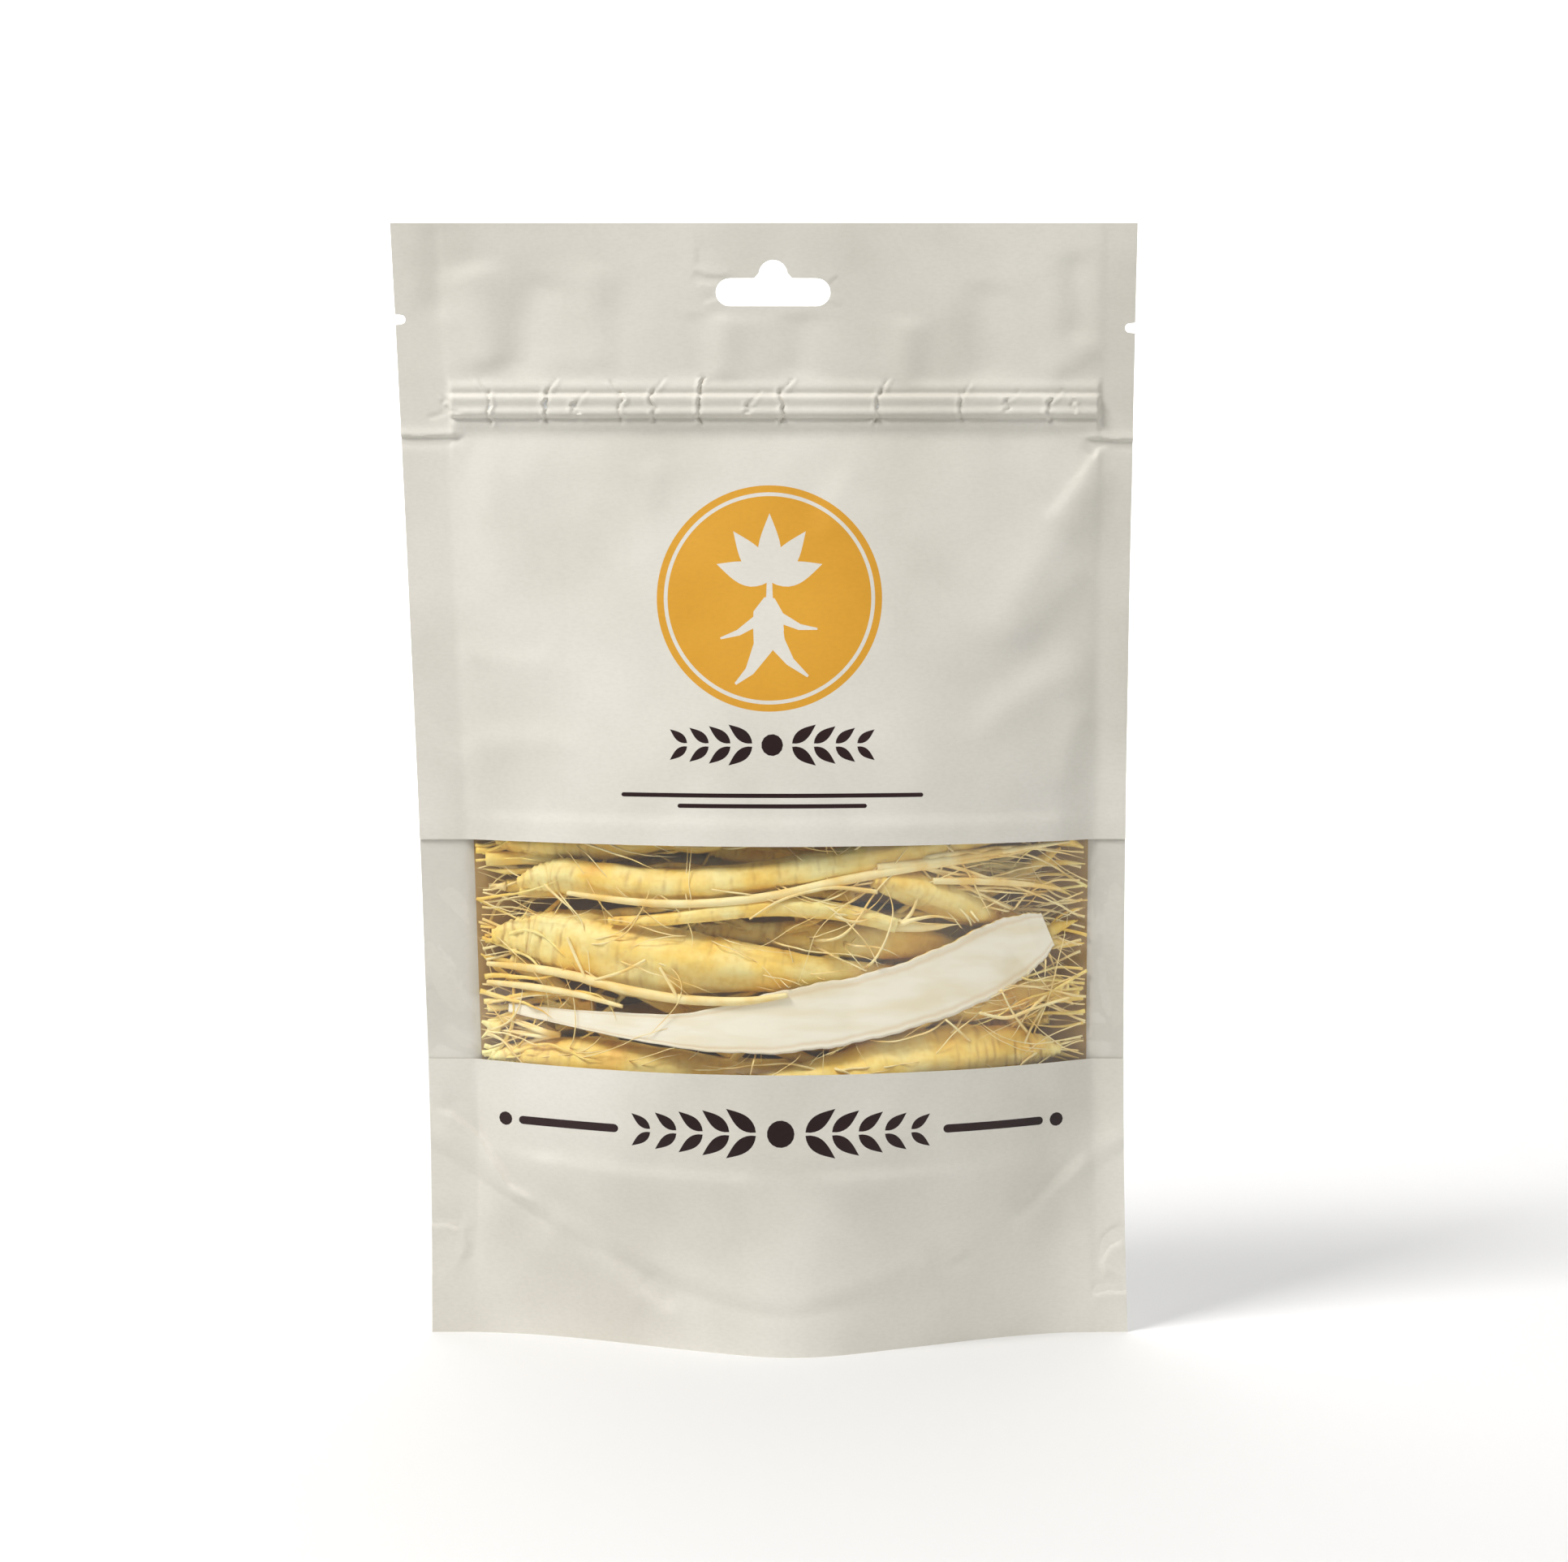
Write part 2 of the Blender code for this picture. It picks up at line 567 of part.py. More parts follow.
def half_ring(sides):
    """The ring of a root cut along its length: flat towards the front wall, round behind."""
    def ring(centre, ahead, radius):
        inward = wall_normal(centre.x, centre.z)
        inward = (inward - ahead * inward.dot(ahead)).normalized()
        across = inward.cross(ahead)
        flat = centre - inward * radius
        deep = SLICE_THICKNESS * inward
        angles = [math.pi * k / (sides - 2) for k in range(sides - 1)]
        return [*(flat + radius * (math.cos(a) * across + math.sin(a) * deep) for a in angles), flat]
    return ring


def limb_line(knots, limb):
    """A side root: it leaves the main root inside its flesh and spreads away from it."""
    start, end, angle, spread, girth = limb
    line = []
    for i in range(LIMB_RINGS):
        t = i / (LIMB_RINGS - 1)
        share = start + (end - start) * t
        x, y, z, _ = spline(knots, share)
        ahead = Vector(spline(knots, share + 0.01)[:3]) - Vector(spline(knots, share - 0.01)[:3])
        side = ahead.cross(Vector((0, 0, 1))).normalized()
        up = side.cross(ahead.normalized())
        away = math.cos(math.radians(angle)) * side + math.sin(math.radians(angle)) * up
        place = Vector((x, y, z)) + away * spread * MM * smooth(t)
        line.append((*place, girth * MM * (1 - BURIED_START * t)))
    return line


def join_limbs(trunk, limbs):
    """One Boolean union of a root with its side roots, applied."""
    if not limbs:
        return
    group = bpy.data.collections.new(trunk.name + "_limbs")
    bpy.context.scene.collection.children.link(group)
    for limb in limbs:
        bpy.context.scene.collection.objects.unlink(limb)
        group.objects.link(limb)
    union = trunk.modifiers.new("limbs", "BOOLEAN")
    union.operation = "UNION"
    union.operand_type = "COLLECTION"
    union.collection = group
    graph = bpy.context.evaluated_depsgraph_get()
    joined = bpy.data.meshes.new_from_object(trunk.evaluated_get(graph))
    trunk.modifiers.remove(union)
    trunk.data = joined
    for limb in limbs:
        bpy.data.objects.remove(limb)
    bpy.data.collections.remove(group)


def root(name, plan, skin, flesh):
    """One ginseng root: neck, body tapering into a leg, and side roots grown out of it."""
    knots = [station_point(plan["wall"], s) for s in plan["stations"]]
    count = RINGS_PER_SPAN * (len(knots) - 1)
    line = [spline(knots, i / count) for i in range(count + 1)]
    if plan.get("sliced"):
        sides = RING_SIDES + 1
        return tube(name, line, sides, flesh, half_ring(sides))
    trunk = tube(name, line, RING_SIDES, skin, round_ring(RING_SIDES))
    limbs = [
        tube(f"{name}_limb_{i}", limb_line(knots, limb), LIMB_SIDES, skin, round_ring(LIMB_SIDES))
        for i, limb in enumerate(plan["limbs"])
    ]
    join_limbs(trunk, limbs)
    return trunk


def panels(paper, film):
    """The front in two paper parts with the clear band between them, and the back.

    The back is one sheet in the real pouch. It is two solids here, a gap apart, so that the
    upper one gets collision pieces that leave the hanging slot open.
    """
    film_low = WINDOW_LOW - FILM_OVERLAP
    film_high = WINDOW_HIGH + FILM_OVERLAP
    gusset_high = FOLD_HEIGHT + FOLD_LIP
    header = [*zip_rows(), *steps(HEADER_LOW, HEIGHT, 3)]
    above_film = steps(film_high + LAYER_STEP, zip_rows()[0], 7)[:-1]
    above_gusset = steps(gusset_high + LAYER_STEP, BACK_SPLIT - LAYER_GAP / 2, 4)
    above_split = steps(BACK_SPLIT + LAYER_GAP / 2, zip_rows()[0], 6)[:-1]
    upper_rows = [WINDOW_HIGH, film_high, *above_film, *header]
    lower_rows = [*steps(0.0, gusset_high, 6), *above_gusset]
    upper = wall("front_upper", upper_rows, -1, paper, film_high)
    wall("front_lower", steps(0.0, WINDOW_LOW, 9), -1, paper)
    wall("window_film", steps(film_low, film_high, 6), -1, film, -math.inf)
    wall("back_lower", lower_rows, 1, paper, gusset_high)
    back = wall("back_upper", [*above_split, *header], 1, paper, gusset_high)
    cutters = [
        hang_hole(),
        tear_notch("cut_notch_left", -1, NOTCH_LEFT_HEIGHT),
        tear_notch("cut_notch_right", 1, NOTCH_RIGHT_HEIGHT),
    ]
    for panel in (upper, back):
        for cutter in cutters:
            cut(panel, cutter)


def main():
    for old in list(bpy.data.objects):
        bpy.data.objects.remove(old)
    paper = material("paper", PAPER_LOOK)
    film = material("film", FILM_LOOK, FILM_ALPHA)
    panels(paper, film)
    gusset(paper)
    zip_strips(material("zip", ZIP_LOOK))
    skin = material("root_skin", SKIN_LOOK)
    flesh = material("root_flesh", FLESH_LOOK)
    for name, plan in ROOTS.items():
        root(name, plan, skin, flesh)


main()
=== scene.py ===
"""Looks of a standing paper pouch with a clear window band, filled with ginseng roots.

Lengths are millimetres until a mesh is made. X runs across the pouch, the front faces -Y, and the base
edge stands on Z = 0, as in the frame. The stage and its lights are in metres.
"""

import math

import bpy
import numpy as np
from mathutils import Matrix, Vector, kdtree
from mathutils.geometry import delaunay_2d_cdt


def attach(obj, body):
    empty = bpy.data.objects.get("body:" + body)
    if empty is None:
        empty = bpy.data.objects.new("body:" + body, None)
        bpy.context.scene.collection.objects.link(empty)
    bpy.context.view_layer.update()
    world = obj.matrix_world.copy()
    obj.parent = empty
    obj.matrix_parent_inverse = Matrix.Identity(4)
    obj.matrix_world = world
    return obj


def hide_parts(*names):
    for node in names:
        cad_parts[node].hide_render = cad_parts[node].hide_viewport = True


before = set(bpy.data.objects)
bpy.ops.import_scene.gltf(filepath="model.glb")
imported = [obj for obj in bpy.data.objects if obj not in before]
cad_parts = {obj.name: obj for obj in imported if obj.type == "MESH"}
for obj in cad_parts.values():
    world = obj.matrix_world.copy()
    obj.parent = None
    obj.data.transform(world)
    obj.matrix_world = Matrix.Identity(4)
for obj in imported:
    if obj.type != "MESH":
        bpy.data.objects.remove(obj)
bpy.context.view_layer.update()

MM = 0.001

# The pouch's own sizes, as in its solids
HEIGHT = 240.0
TOP_HALF_WIDTH = 80.0
WAIST_HALF_WIDTH = 75.4
WAIST_HEIGHT = 44.0
FOOT_FLARE = 0.5
SIDE_CURVE = 1.35
LEAN = 3.4
SEAL_LEFT = 10.5
SEAL_RIGHT = 7.0
LAYER_GAP = 0.3
SHEET = 0.25
LINER_IN = LAYER_GAP / 2
LINER_OUT = LINER_IN + SHEET
PAPER_IN = LINER_OUT + LAYER_GAP
LAYER_STEP = 2.5
BELLY = 24.0
BELLY_TOP = 195.0
BELLY_POWER = 1.15
LENS_POWER = 1.1
FOOT_BLEND = 55.0
FOOT_NOSE = 0.1
BASE_SEAL = 9.6
FOLD_HEIGHT = 42.0
SEAL_POWER = 1.6
FOLD_LIP = 0.5
FOLD_RISE = 4.0
PUNCH_HEIGHT = 18.5
PUNCH_RADIUS = 5.5
WINDOW_LOW = 60.0
WINDOW_HIGH = 107.8
FILM_OVERLAP = 4.0
ZIP_HEIGHT = 201.0
ZIP_BAND = 1.8
ZIP_SLOPE = 1.0
ZIP_BULGE = 1.5
ZIP_END_SLOPE = 0.012
SLOT_HEIGHT = 225.3
SLOT_HALF_WIDTH = 12.3
SLOT_HALF_HEIGHT = 3.0
BUMP_HALF_WIDTH = 4.1
BUMP_TOP_RADIUS = 3.1
BUMP_RISE = 3.9
NOTCH_HEIGHTS = {-1: 219.5, 1: 217.7}
NOTCH_DEPTH = 2.2
NOTCH_HALF_HEIGHT = 1.0

# Where the seals press the layers together: each layer's distance from the middle plane, how much nearer
# the front paper comes above the gusset, and the least thickness of a sheet
PRESSED = {LINER_IN: 0.02, LINER_OUT: 0.28, PAPER_IN: 0.31}
GUSSET_LAYER = 0.13
THINNEST = 0.08

# Where the header starts to lie flat, where the chamber ends, and over what lengths and share of the width
HEADER_LOW = 190.0
CHAMBER_TOP = 197.0
HEADER_EASE = 12.0
SEAL_EASE = 0.14

# Spacing and numbers of mesh points
PAPER_PITCH = 1.15
ZIP_PITCH = 0.42
CREASE_PITCH = 0.5
SEAM_PITCH = 0.6
BACK_PITCH = 1.7
BACK_ZIP_PITCH = 0.7
EDGE_CLEAR = 0.36
OUTLINE_STEP = 1.0
FILM_GRID = (53, 141)
GUSSET_COLUMNS = 121
SKIRT_ROWS = 15
WEB_ROWS = 23

# Camera
CAMERA_TARGET = (4.3, 0.0, 120.4)
CAMERA_DISTANCE = 700.0
CAMERA_ELEVATION = 3.5
CAMERA_LENS = 74.3


def clamp(value):
    return np.clip(value, 0.0, 1.0)


def smooth(share):
    share = clamp(share)
    return share * share * (3 - 2 * share)


def bell(far, width):
    """A soft bump of height 1, at a distance from its middle."""
    return np.exp(-((far / width) ** 2))


def half_width(z):
    z = np.asarray(z, float)
    foot = WAIST_HALF_WIDTH + FOOT_FLARE * clamp(1 - z / WAIST_HEIGHT) ** 2
    rise = clamp((z - WAIST_HEIGHT) / (HEIGHT - WAIST_HEIGHT))
    return foot + (TOP_HALF_WIDTH - WAIST_HALF_WIDTH) * rise**SIDE_CURVE


def centre_x(z):
    return LEAN * (1 - np.asarray(z, float) / HEIGHT)


def side_x(z, share):
    """The x at a share of the way out from the middle line: -1 and 1 at the side edges."""
    return centre_x(z) + share * half_width(z)


def chamber_centre(z):
    return centre_x(z) + (SEAL_LEFT - SEAL_RIGHT) / 2


def chamber_half(z):
    return half_width(z) - (SEAL_LEFT + SEAL_RIGHT) / 2


def chamber_x(z, share):
    """The same inside the chamber: -1 and 1 at the side seals' inner edges."""
    return chamber_centre(z) + share * chamber_half(z)


def across(x, z):
    return (x - chamber_centre(z)) / chamber_half(z)


def belly(z):
    rise = clamp((z - WAIST_HEIGHT) / (BELLY_TOP - WAIST_HEIGHT))
    return BELLY * (1 - rise * rise) ** BELLY_POWER


def foot_bow(v):
    reach = (np.sqrt(v * v + FOOT_NOSE**2) - FOOT_NOSE) / (math.sqrt(1 + FOOT_NOSE**2) - FOOT_NOSE)
    return 0.5 * np.cos(math.pi * v / 2) ** 2 + 0.5 * clamp(1 - reach) ** 1.5


def bow(x, z):
    """Distance from the middle plane to the inside of either wall's innermost layer."""
    v = np.clip(across(x, z), -1.0, 1.0)
    lens = (1 - v * v) ** LENS_POWER
    share = smooth(z / FOOT_BLEND)
    return belly(z) * (share * lens + (1 - share) * foot_bow(v))


def foot_share(x):
    return clamp(abs(x - centre_x(0.0)) / half_width(0.0))


def base_seal(x):
    """Height of the curved seal along the foot."""
    return BASE_SEAL + (FOLD_HEIGHT - FOLD_LIP - BASE_SEAL) * foot_share(x) ** SEAL_POWER


def base_fold(x):
    """Height of the gusset's fold over it."""
    return base_seal(x) + FOLD_LIP + FOLD_RISE * (1 - foot_share(x) ** 2)


# Relief of the paper and the film

def soft_noise(x, z, scale, seed):
    """Smooth value noise from -1 to 1, on cells of the given size."""
    cells = np.random.default_rng(seed).uniform(-1, 1, (64, 64))
    u, w = (x * 0.8 + z * 0.6) / scale + 30.3, (z * 0.8 - x * 0.6) / scale + 21.7
    i, j = np.floor(u).astype(int), np.floor(w).astype(int)
    fu, fw = smooth(u - i), smooth(w - j)
    a, b = cells[i % 64, j % 64], cells[(i + 1) % 64, j % 64]
    c, d = cells[i % 64, (j + 1) % 64], cells[(i + 1) % 64, (j + 1) % 64]
    return (a * (1 - fu) + b * fu) * (1 - fw) + (c * (1 - fu) + d * fu) * fw


def path_distance(x, z, path):
    """Signed distance to a path, and how far along it the nearest point is, as a share."""
    best, side, along = np.full(x.shape, 1e9), np.ones(x.shape), np.zeros(x.shape)
    lengths = [math.dist(a, b) for a, b in zip(path, path[1:])]
    run = 0.0
    for (ax, az), (bx, bz), length in zip(path, path[1:], lengths):
        dx, dz = (bx - ax) / length, (bz - az) / length
        t = np.clip((x - ax) * dx + (z - az) * dz, 0, length)
        far = np.hypot(x - ax - t * dx, z - az - t * dz)
        near = far < best
        best = np.where(near, far, best)
        side = np.where(near, np.sign((x - ax) * dz - (z - az) * dx), side)
        along = np.where(near, (run + t) / sum(lengths), along)
        run += length
    return best * side, along


def crease(x, z, sharp, path, height, width, tilt=0.0, reach=6.0):
    """A pressed line along a path. tilt lifts one side of it and sinks the other, over a reach."""
    far, along = path_distance(x, z, path)
    ends = smooth(np.minimum(along, 1 - along) * 5 + 0.12)
    line = np.exp(-np.abs(far) / width) if sharp else bell(far, width)
    return ends * (height * line + tilt * np.tanh(far / width) * bell(far, reach))


def creases(x, z, sharp, lines):
    return sum(crease(x, z, sharp, *line) for line in lines)


# Pressed lines: path, height, width, tilt and its reach. The first four are the cut lines across the side
# seals, a little below the zip.
SHARP_LINES = [
    ([(-84, 194.6), (-74, 194.3), (-64.0, 194.6)], -0.3, 0.3, -0.6, 1.6),
    ([(86, 193.3), (76, 193.5), (68.5, 194.0)], -0.3, 0.3, 0.6, 1.6),
    ([(73.5, 193.4), (71.6, 192.0), (70.4, 189.6)], -0.3, 0.45, -0.3, 2),
    ([(-72.6, 198.6), (-70.4, 198.9), (-68.0, 199.9), (-64.5, 199.7)], -0.45, 0.35),
    ([(-72, 49), (-68, 47.8), (-63, 44), (-58.6, 37.6), (-55.4, 32.8), (-49, 29.5)], 0.42, 0.45, 0.55, 5),
    ([(-74, 23.6), (-69, 23.4), (-66, 22.4)], 0.3, 0.45, 0.35, 3),
    ([(-66, 22.4), (-64.6, 19.5), (-65.4, 15.6)], 0.3, 0.6, 0.3, 3),
    ([(80, 8.8), (75, 9.0), (71, 8.0)], 0.3, 0.45, -0.4, 3),
    ([(79, 20.4), (75.4, 18.6), (73.6, 15.2), (74.2, 11.6)], 0.3, 0.6, -0.35, 3),
    ([(70.5, 40.2), (65, 35), (58.5, 29), (52, 25)], 0.1, 0.9, -0.9, 6),
    ([(-15.2, 229.9), (-12.5, 228.6), (-9.6, 228.4), (-6, 228.6)], -0.12, 0.35, -0.15, 2),
    ([(-14.4, 227.2), (-12.2, 227.0), (-10.6, 226.2)], 0.10, 0.35, 0.1, 1.5),
    ([(-13, 222.6), (-11, 223.4), (-9.4, 223.6)], 0.08, 0.35, 0.1, 1.5),
    ([(15.6, 229), (14.6, 228.2), (13.6, 227.4)], 0.12, 0.35, 0.1, 1.5),
    ([(16.5, 222.2), (15, 223), (13.6, 223.6)], 0.08, 0.35, 0.1, 1.5),
    ([(-14.6, 236), (-14.6, 231), (-13.4, 229.4)], 0.07, 0.5, 0.1, 3),
    ([(71.5, 192.5), (69.5, 188.5), (66.5, 184), (60, 176)], 0.1, 0.9, -0.35, 7),
]
SOFT_FOLDS = [
    ([(73, 190), (66, 177), (57, 162), (48, 147)], 0.9, 5.0, 0.5, 12),
    ([(70, 168), (60, 156), (52, 149)], 0.5, 3.5, 0.35, 8),
    ([(72, 146), (62, 143), (50, 136), (44, 128)], 0.6, 4.0, -0.4, 9),
    ([(70, 136), (66, 128), (66, 118)], 0.5, 3.0, 0.3, 7),
    ([(-69, 125), (-60, 129), (-46, 130), (-38, 127)], 0.4, 3.0, 0.3, 8),
    ([(-66, 150), (-54, 146), (-44, 147)], 0.3, 2.5, 0.2, 6),
    ([(-22, 190), (-24, 178), (-19, 168)], 0.3, 3.0, 0.3, 7),
    ([(20, 190), (14, 180), (13, 172)], 0.3, 3.0, -0.3, 7),
    ([(44, 110), (30, 112), (18, 109)], 0.25, 3.0, 0.2, 6),
    ([(-46, 28), (-36, 19), (-27, 12), (-22, 10)], 0.45, 2.6, 0.45, 7),
    ([(-27, 14), (-22, 10), (-18, 11)], -0.6, 1.8, 0.5, 5),
    ([(34, 21), (40, 17.5), (45, 18.5)], -0.6, 1.8, 0.6, 5),
    ([(22, 14), (34, 16.5), (42, 20)], 0.3, 2.6, -0.3, 6),
    ([(62, 54), (54, 50), (45, 50)], 0.3, 2.5, 0.25, 6),
    ([(-52, 38), (-40, 40.5), (-30, 39)], 0.3, 2.2, 0.3, 6),
    ([(-66, 41.5), (-40, 38.5), (0, 37.6), (40, 38.2), (74, 41)], 0.25, 1.2, 0.35, 5),
]
HEADER_FOLDS = [
    ([(-62, 232), (-60, 222), (-57, 208)], 1.0, 5.0, 0.5, 12),
    ([(-48, 230), (-52, 218), (-54, 207)], -0.8, 5.0, 0.4, 10),
    ([(-9, 221), (-9.6, 213), (-10, 206)], 0.7, 3.5, -0.6, 8),
    ([(7, 221), (7, 214), (6, 207)], -0.6, 4.0, 0.3, 8),
    ([(32, 220), (31, 212), (30, 205)], 0.7, 3.6, 0.35, 8),
    ([(47, 228), (46, 216), (47, 206)], -0.5, 4.5, 0.3, 10),
    ([(66, 234), (67, 222), (66, 214)], -0.6, 3.0, 0.3, 7),
    ([(72, 214), (66, 210), (60, 207)], 0.4, 2.6, 0.3, 6),
    ([(-72, 240), (-70, 230), (-71, 219)], -0.4, 3.0, 0.3, 6),
    ([(-34, 232), (-36, 221), (-35, 208)], 0.5, 4.0, 0.3, 8),
]

FILM_LINES = [
    ([(-72, 96), (-66, 90), (-62, 84)], 0.25, 0.6, 0.25, 4),
    ([(-73, 88), (-67, 80), (-63, 70)], 0.2, 0.8, -0.3, 5),
    ([(-71, 66), (-66, 62), (-62, 61)], 0.2, 0.5, 0.2, 3),
    ([(75, 100), (73, 92), (72.6, 82), (74, 72), (76, 66)], 0.3, 0.7, 0.5, 4),
    ([(72, 104), (69, 96), (70, 88)], 0.2, 0.7, 0.3, 4),
    ([(66, 64), (72, 66), (77, 65)], 0.2, 0.6, 0.2, 3),
    ([(40, 104), (52, 92), (58, 78)], 0.2, 1.0, 0.25, 7),
    ([(-50, 103), (-40, 92), (-36, 76)], 0.16, 1.0, 0.22, 7),
]

# Short crinkles across the zip: place across, upper and lower reach from the zip, and strength
KINKS = [(-68.6, 2.2, 1.4, 0.6), (-58.9, 3.6, 4.6, 1.0), (-46.8, 3.9, 4.0, 1.0), (-40.5, 1.2, 2.0, 0.7),
         (-30.6, 3.4, 3.6, 0.8), (-23.8, 3.9, 4.0, 0.8), (-13.4, 6.8, 4.2, 1.0), (-3.1, 1.2, 1.6, 0.6),
         (4.0, 4.0, 4.4, 1.0), (24.5, 4.0, 4.4, 1.0), (41.9, 2.8, 3.4, 0.7), (52.2, 1.3, 1.5, 0.5),
         (61.4, 1.4, 3.6, 0.8), (66.4, 1.4, 1.6, 0.5)]
KINK_DEPTH = 0.75
KINK_WIDTH = 0.24


def zip_relief(x, z):
    """The closed zip under the wall: a low plateau with a rib along each side, and a soft halo."""
    up = z - ZIP_HEIGHT
    inside = clamp((1 - np.abs(across(x, z))) / ZIP_END_SLOPE)
    plateau = ZIP_BULGE * smooth((ZIP_BAND + ZIP_SLOPE - np.abs(up)) / ZIP_SLOPE)
    lines = [(0.12, 1.2, 0.7), (0.22, -1.2, 0.45), (-0.08, 0.0, 0.6), (0.60, 3.9, 1.5), (0.65, -3.7, 1.6)]
    return inside * (plateau + sum(height * bell(up - place, width) for height, place, width in lines))


def kink_relief(x, z):
    """Jagged cracks across the zip's ribs, each with a raised lip."""
    draw = np.random.default_rng(11)
    relief = np.zeros(x.shape)
    for place, above, below, strength in KINKS:
        wander = draw.uniform(-0.7, 0.7, 8)
        heights = np.linspace(above, -below, 8)
        crack = [(place + w, ZIP_HEIGHT + h) for w, h in zip(wander, heights)]
        way = 1 if draw.uniform() < 0.5 else -1
        branch = [(place + way * 1.6, ZIP_HEIGHT + above + 0.9), (place + way * 2.6, ZIP_HEIGHT + above + 2.4)]
        near = np.abs(x - place) < 6
        for path, depth in ((crack, 1.0), ([crack[1], *branch], 0.45)):
            far, along = path_distance(x[near], z[near], path)
            ends = smooth(np.minimum(along, 1 - along) * 6 + 0.15)
            dip = -KINK_DEPTH * np.exp(-np.abs(far) / KINK_WIDTH)
            lip = 0.55 * KINK_DEPTH * bell(far - way * 0.7, 0.45)
            relief[near] += strength * depth * ends * (dip + lip)
    return relief


def side_step(x, z):
    """The chamber's paper stands a trace above the flat side seals."""
    return 0.22 * smooth((1 - np.abs(across(x, z))) / 0.02 + 0.5)


def arc_relief(x, z):
    """The edge of the curved base seal, drawn into the paper."""
    above = z - base_seal(x)
    return smooth((HEIGHT - z) / 40) * (0.26 * bell(above - 2.5, 2.6) - 0.30 * np.exp(-np.abs(above + 1.0) / 1.6))


def punch_relief(x, z):
    """The half-round spots at the base's side edges, where front and back are fused."""
    return sum(-0.22 * smooth((PUNCH_RADIUS - np.hypot(x - side_x(PUNCH_HEIGHT, side), z - PUNCH_HEIGHT)) / 0.7 + 0.5)
               for side in (-1, 1))


def shared_relief(x, z, kinks):
    return arc_relief(x, z) + punch_relief(x, z) + side_step(x, z) + kinks * kink_relief(x, z)


def sway(x, z):
    """Where both walls are fused they wave together: how far towards the back, at each point."""
    header = smooth((z - HEADER_LOW) / HEADER_EASE)
    flat = header + (1 - header) * smooth((np.abs(across(x, z)) - 1 + SEAL_EASE) / SEAL_EASE)
    wave = 0.7 * soft_noise(x, z, 34, 3) + 0.25 * soft_noise(x, z, 13, 4)
    return flat * (wave - 0.8 * creases(x, z, False, HEADER_FOLDS))


def chamber(x, z):
    """How freely a wall bulges on its own: 0 on the seals and the header, 1 inside."""
    return smooth((1 - np.abs(across(x, z))) / SEAL_EASE) * smooth((CHAMBER_TOP - z) / HEADER_EASE)


def front_relief(x, z):
    """How far the front paper stands out over its plain shape."""
    dents = chamber(x, z) * (0.75 * soft_noise(x, z, 38, 5) + 0.30 * soft_noise(x, z, 15, 6))
    folds = 0.8 * creases(x, z, False, SOFT_FOLDS) + creases(x, z, True, SHARP_LINES)
    return dents + 0.05 * soft_noise(x, z, 5.5, 7) + folds + shared_relief(x, z, 1.0)


def back_relief(x, z):
    """The same for the back wall, with its own dents."""
    dents = chamber(x, z) * (0.8 * soft_noise(x, z, 40, 15) + 0.3 * soft_noise(x, z, 16, 16))
    return dents + 0.05 * soft_noise(x, z, 6, 17) + shared_relief(x, z, 0.6)


def film_relief(x, z):
    """Slow waves and a few pressed lines in the clear film."""
    waves = chamber(x, z) * (0.35 * soft_noise(x, z, 24, 25) + 0.16 * soft_noise(x, z, 9, 26))
    return waves + creases(x, z, True, FILM_LINES)


def kept_inside(out):
    """Holds a paper's inner face a little short of the deepest point of the solids."""
    room, ease = BELLY + PAPER_IN - 0.05, 0.5
    over = np.maximum(out - (room - ease), 0)
    return np.where(over > 0, room - ease * np.exp(-over / ease), out)


def layer(x, z, depth):
    """A layer's distance from the middle plane: as in the solids, but pressed together on the seals."""
    pressed = PRESSED[depth]
    if depth == PAPER_IN:
        pressed = pressed - GUSSET_LAYER * smooth((z - FOLD_HEIGHT) / LAYER_STEP)
    return pressed + (depth - pressed) * chamber(x, z)


def wall_offset(x, z, liner_top):
    """A wall sheet's inner face over the inner layer up to its top, and on the middle plane above it."""
    over = 1 - smooth((z - liner_top) / LAYER_STEP)
    return layer(x, z, LINER_IN) + (layer(x, z, PAPER_IN) - layer(x, z, LINER_IN)) * over


def sheet_depths(out):
    """A sheet's outer and inner distance from the middle plane, which neither face passes."""
    inner = np.maximum(out, PRESSED[LINER_IN])
    return np.maximum(out + SHEET, inner + THINNEST), inner


# Flat outlines and prints

def arc(cx, cz, radius, start, end, count):
    turns = np.radians(np.linspace(start, end, count + 1))
    return [(cx + radius * math.cos(a), cz + radius * math.sin(a)) for a in turns]


def divided(line, step=OUTLINE_STEP):
    """A closed outline with points no further apart than a step."""
    points = []
    for (ax, az), (bx, bz) in zip(line, [*line[1:], line[0]]):
        count = max(1, math.ceil(math.dist((ax, az), (bx, bz)) / step))
        points += [(ax + (bx - ax) * i / count, az + (bz - az) * i / count) for i in range(count)]
    return points


def side_edge(side, low, high):
    """Points up a side edge, with its tear notch if that lies between the two heights."""
    line = [(float(side_x(z, side)), float(z)) for z in [*np.arange(low, high, OUTLINE_STEP), high]]
    notch, half = NOTCH_HEIGHTS[side], NOTCH_HALF_HEIGHT
    if not low < notch < high:
        return line
    edge = float(side_x(notch, side))
    tip = arc(edge - side * (NOTCH_DEPTH - half), notch, half, -90, -90 - side * 180, 8)
    below = [p for p in line if p[1] < notch - 1.3 * half]
    above = [p for p in line if p[1] > notch + 1.3 * half]
    return [*below, (edge, notch - 1.15 * half), *tip, (edge, notch + 1.15 * half), *above]


def panel_outline(low, high):
    return divided([*side_edge(1, low, high), *reversed(side_edge(-1, low, high))])


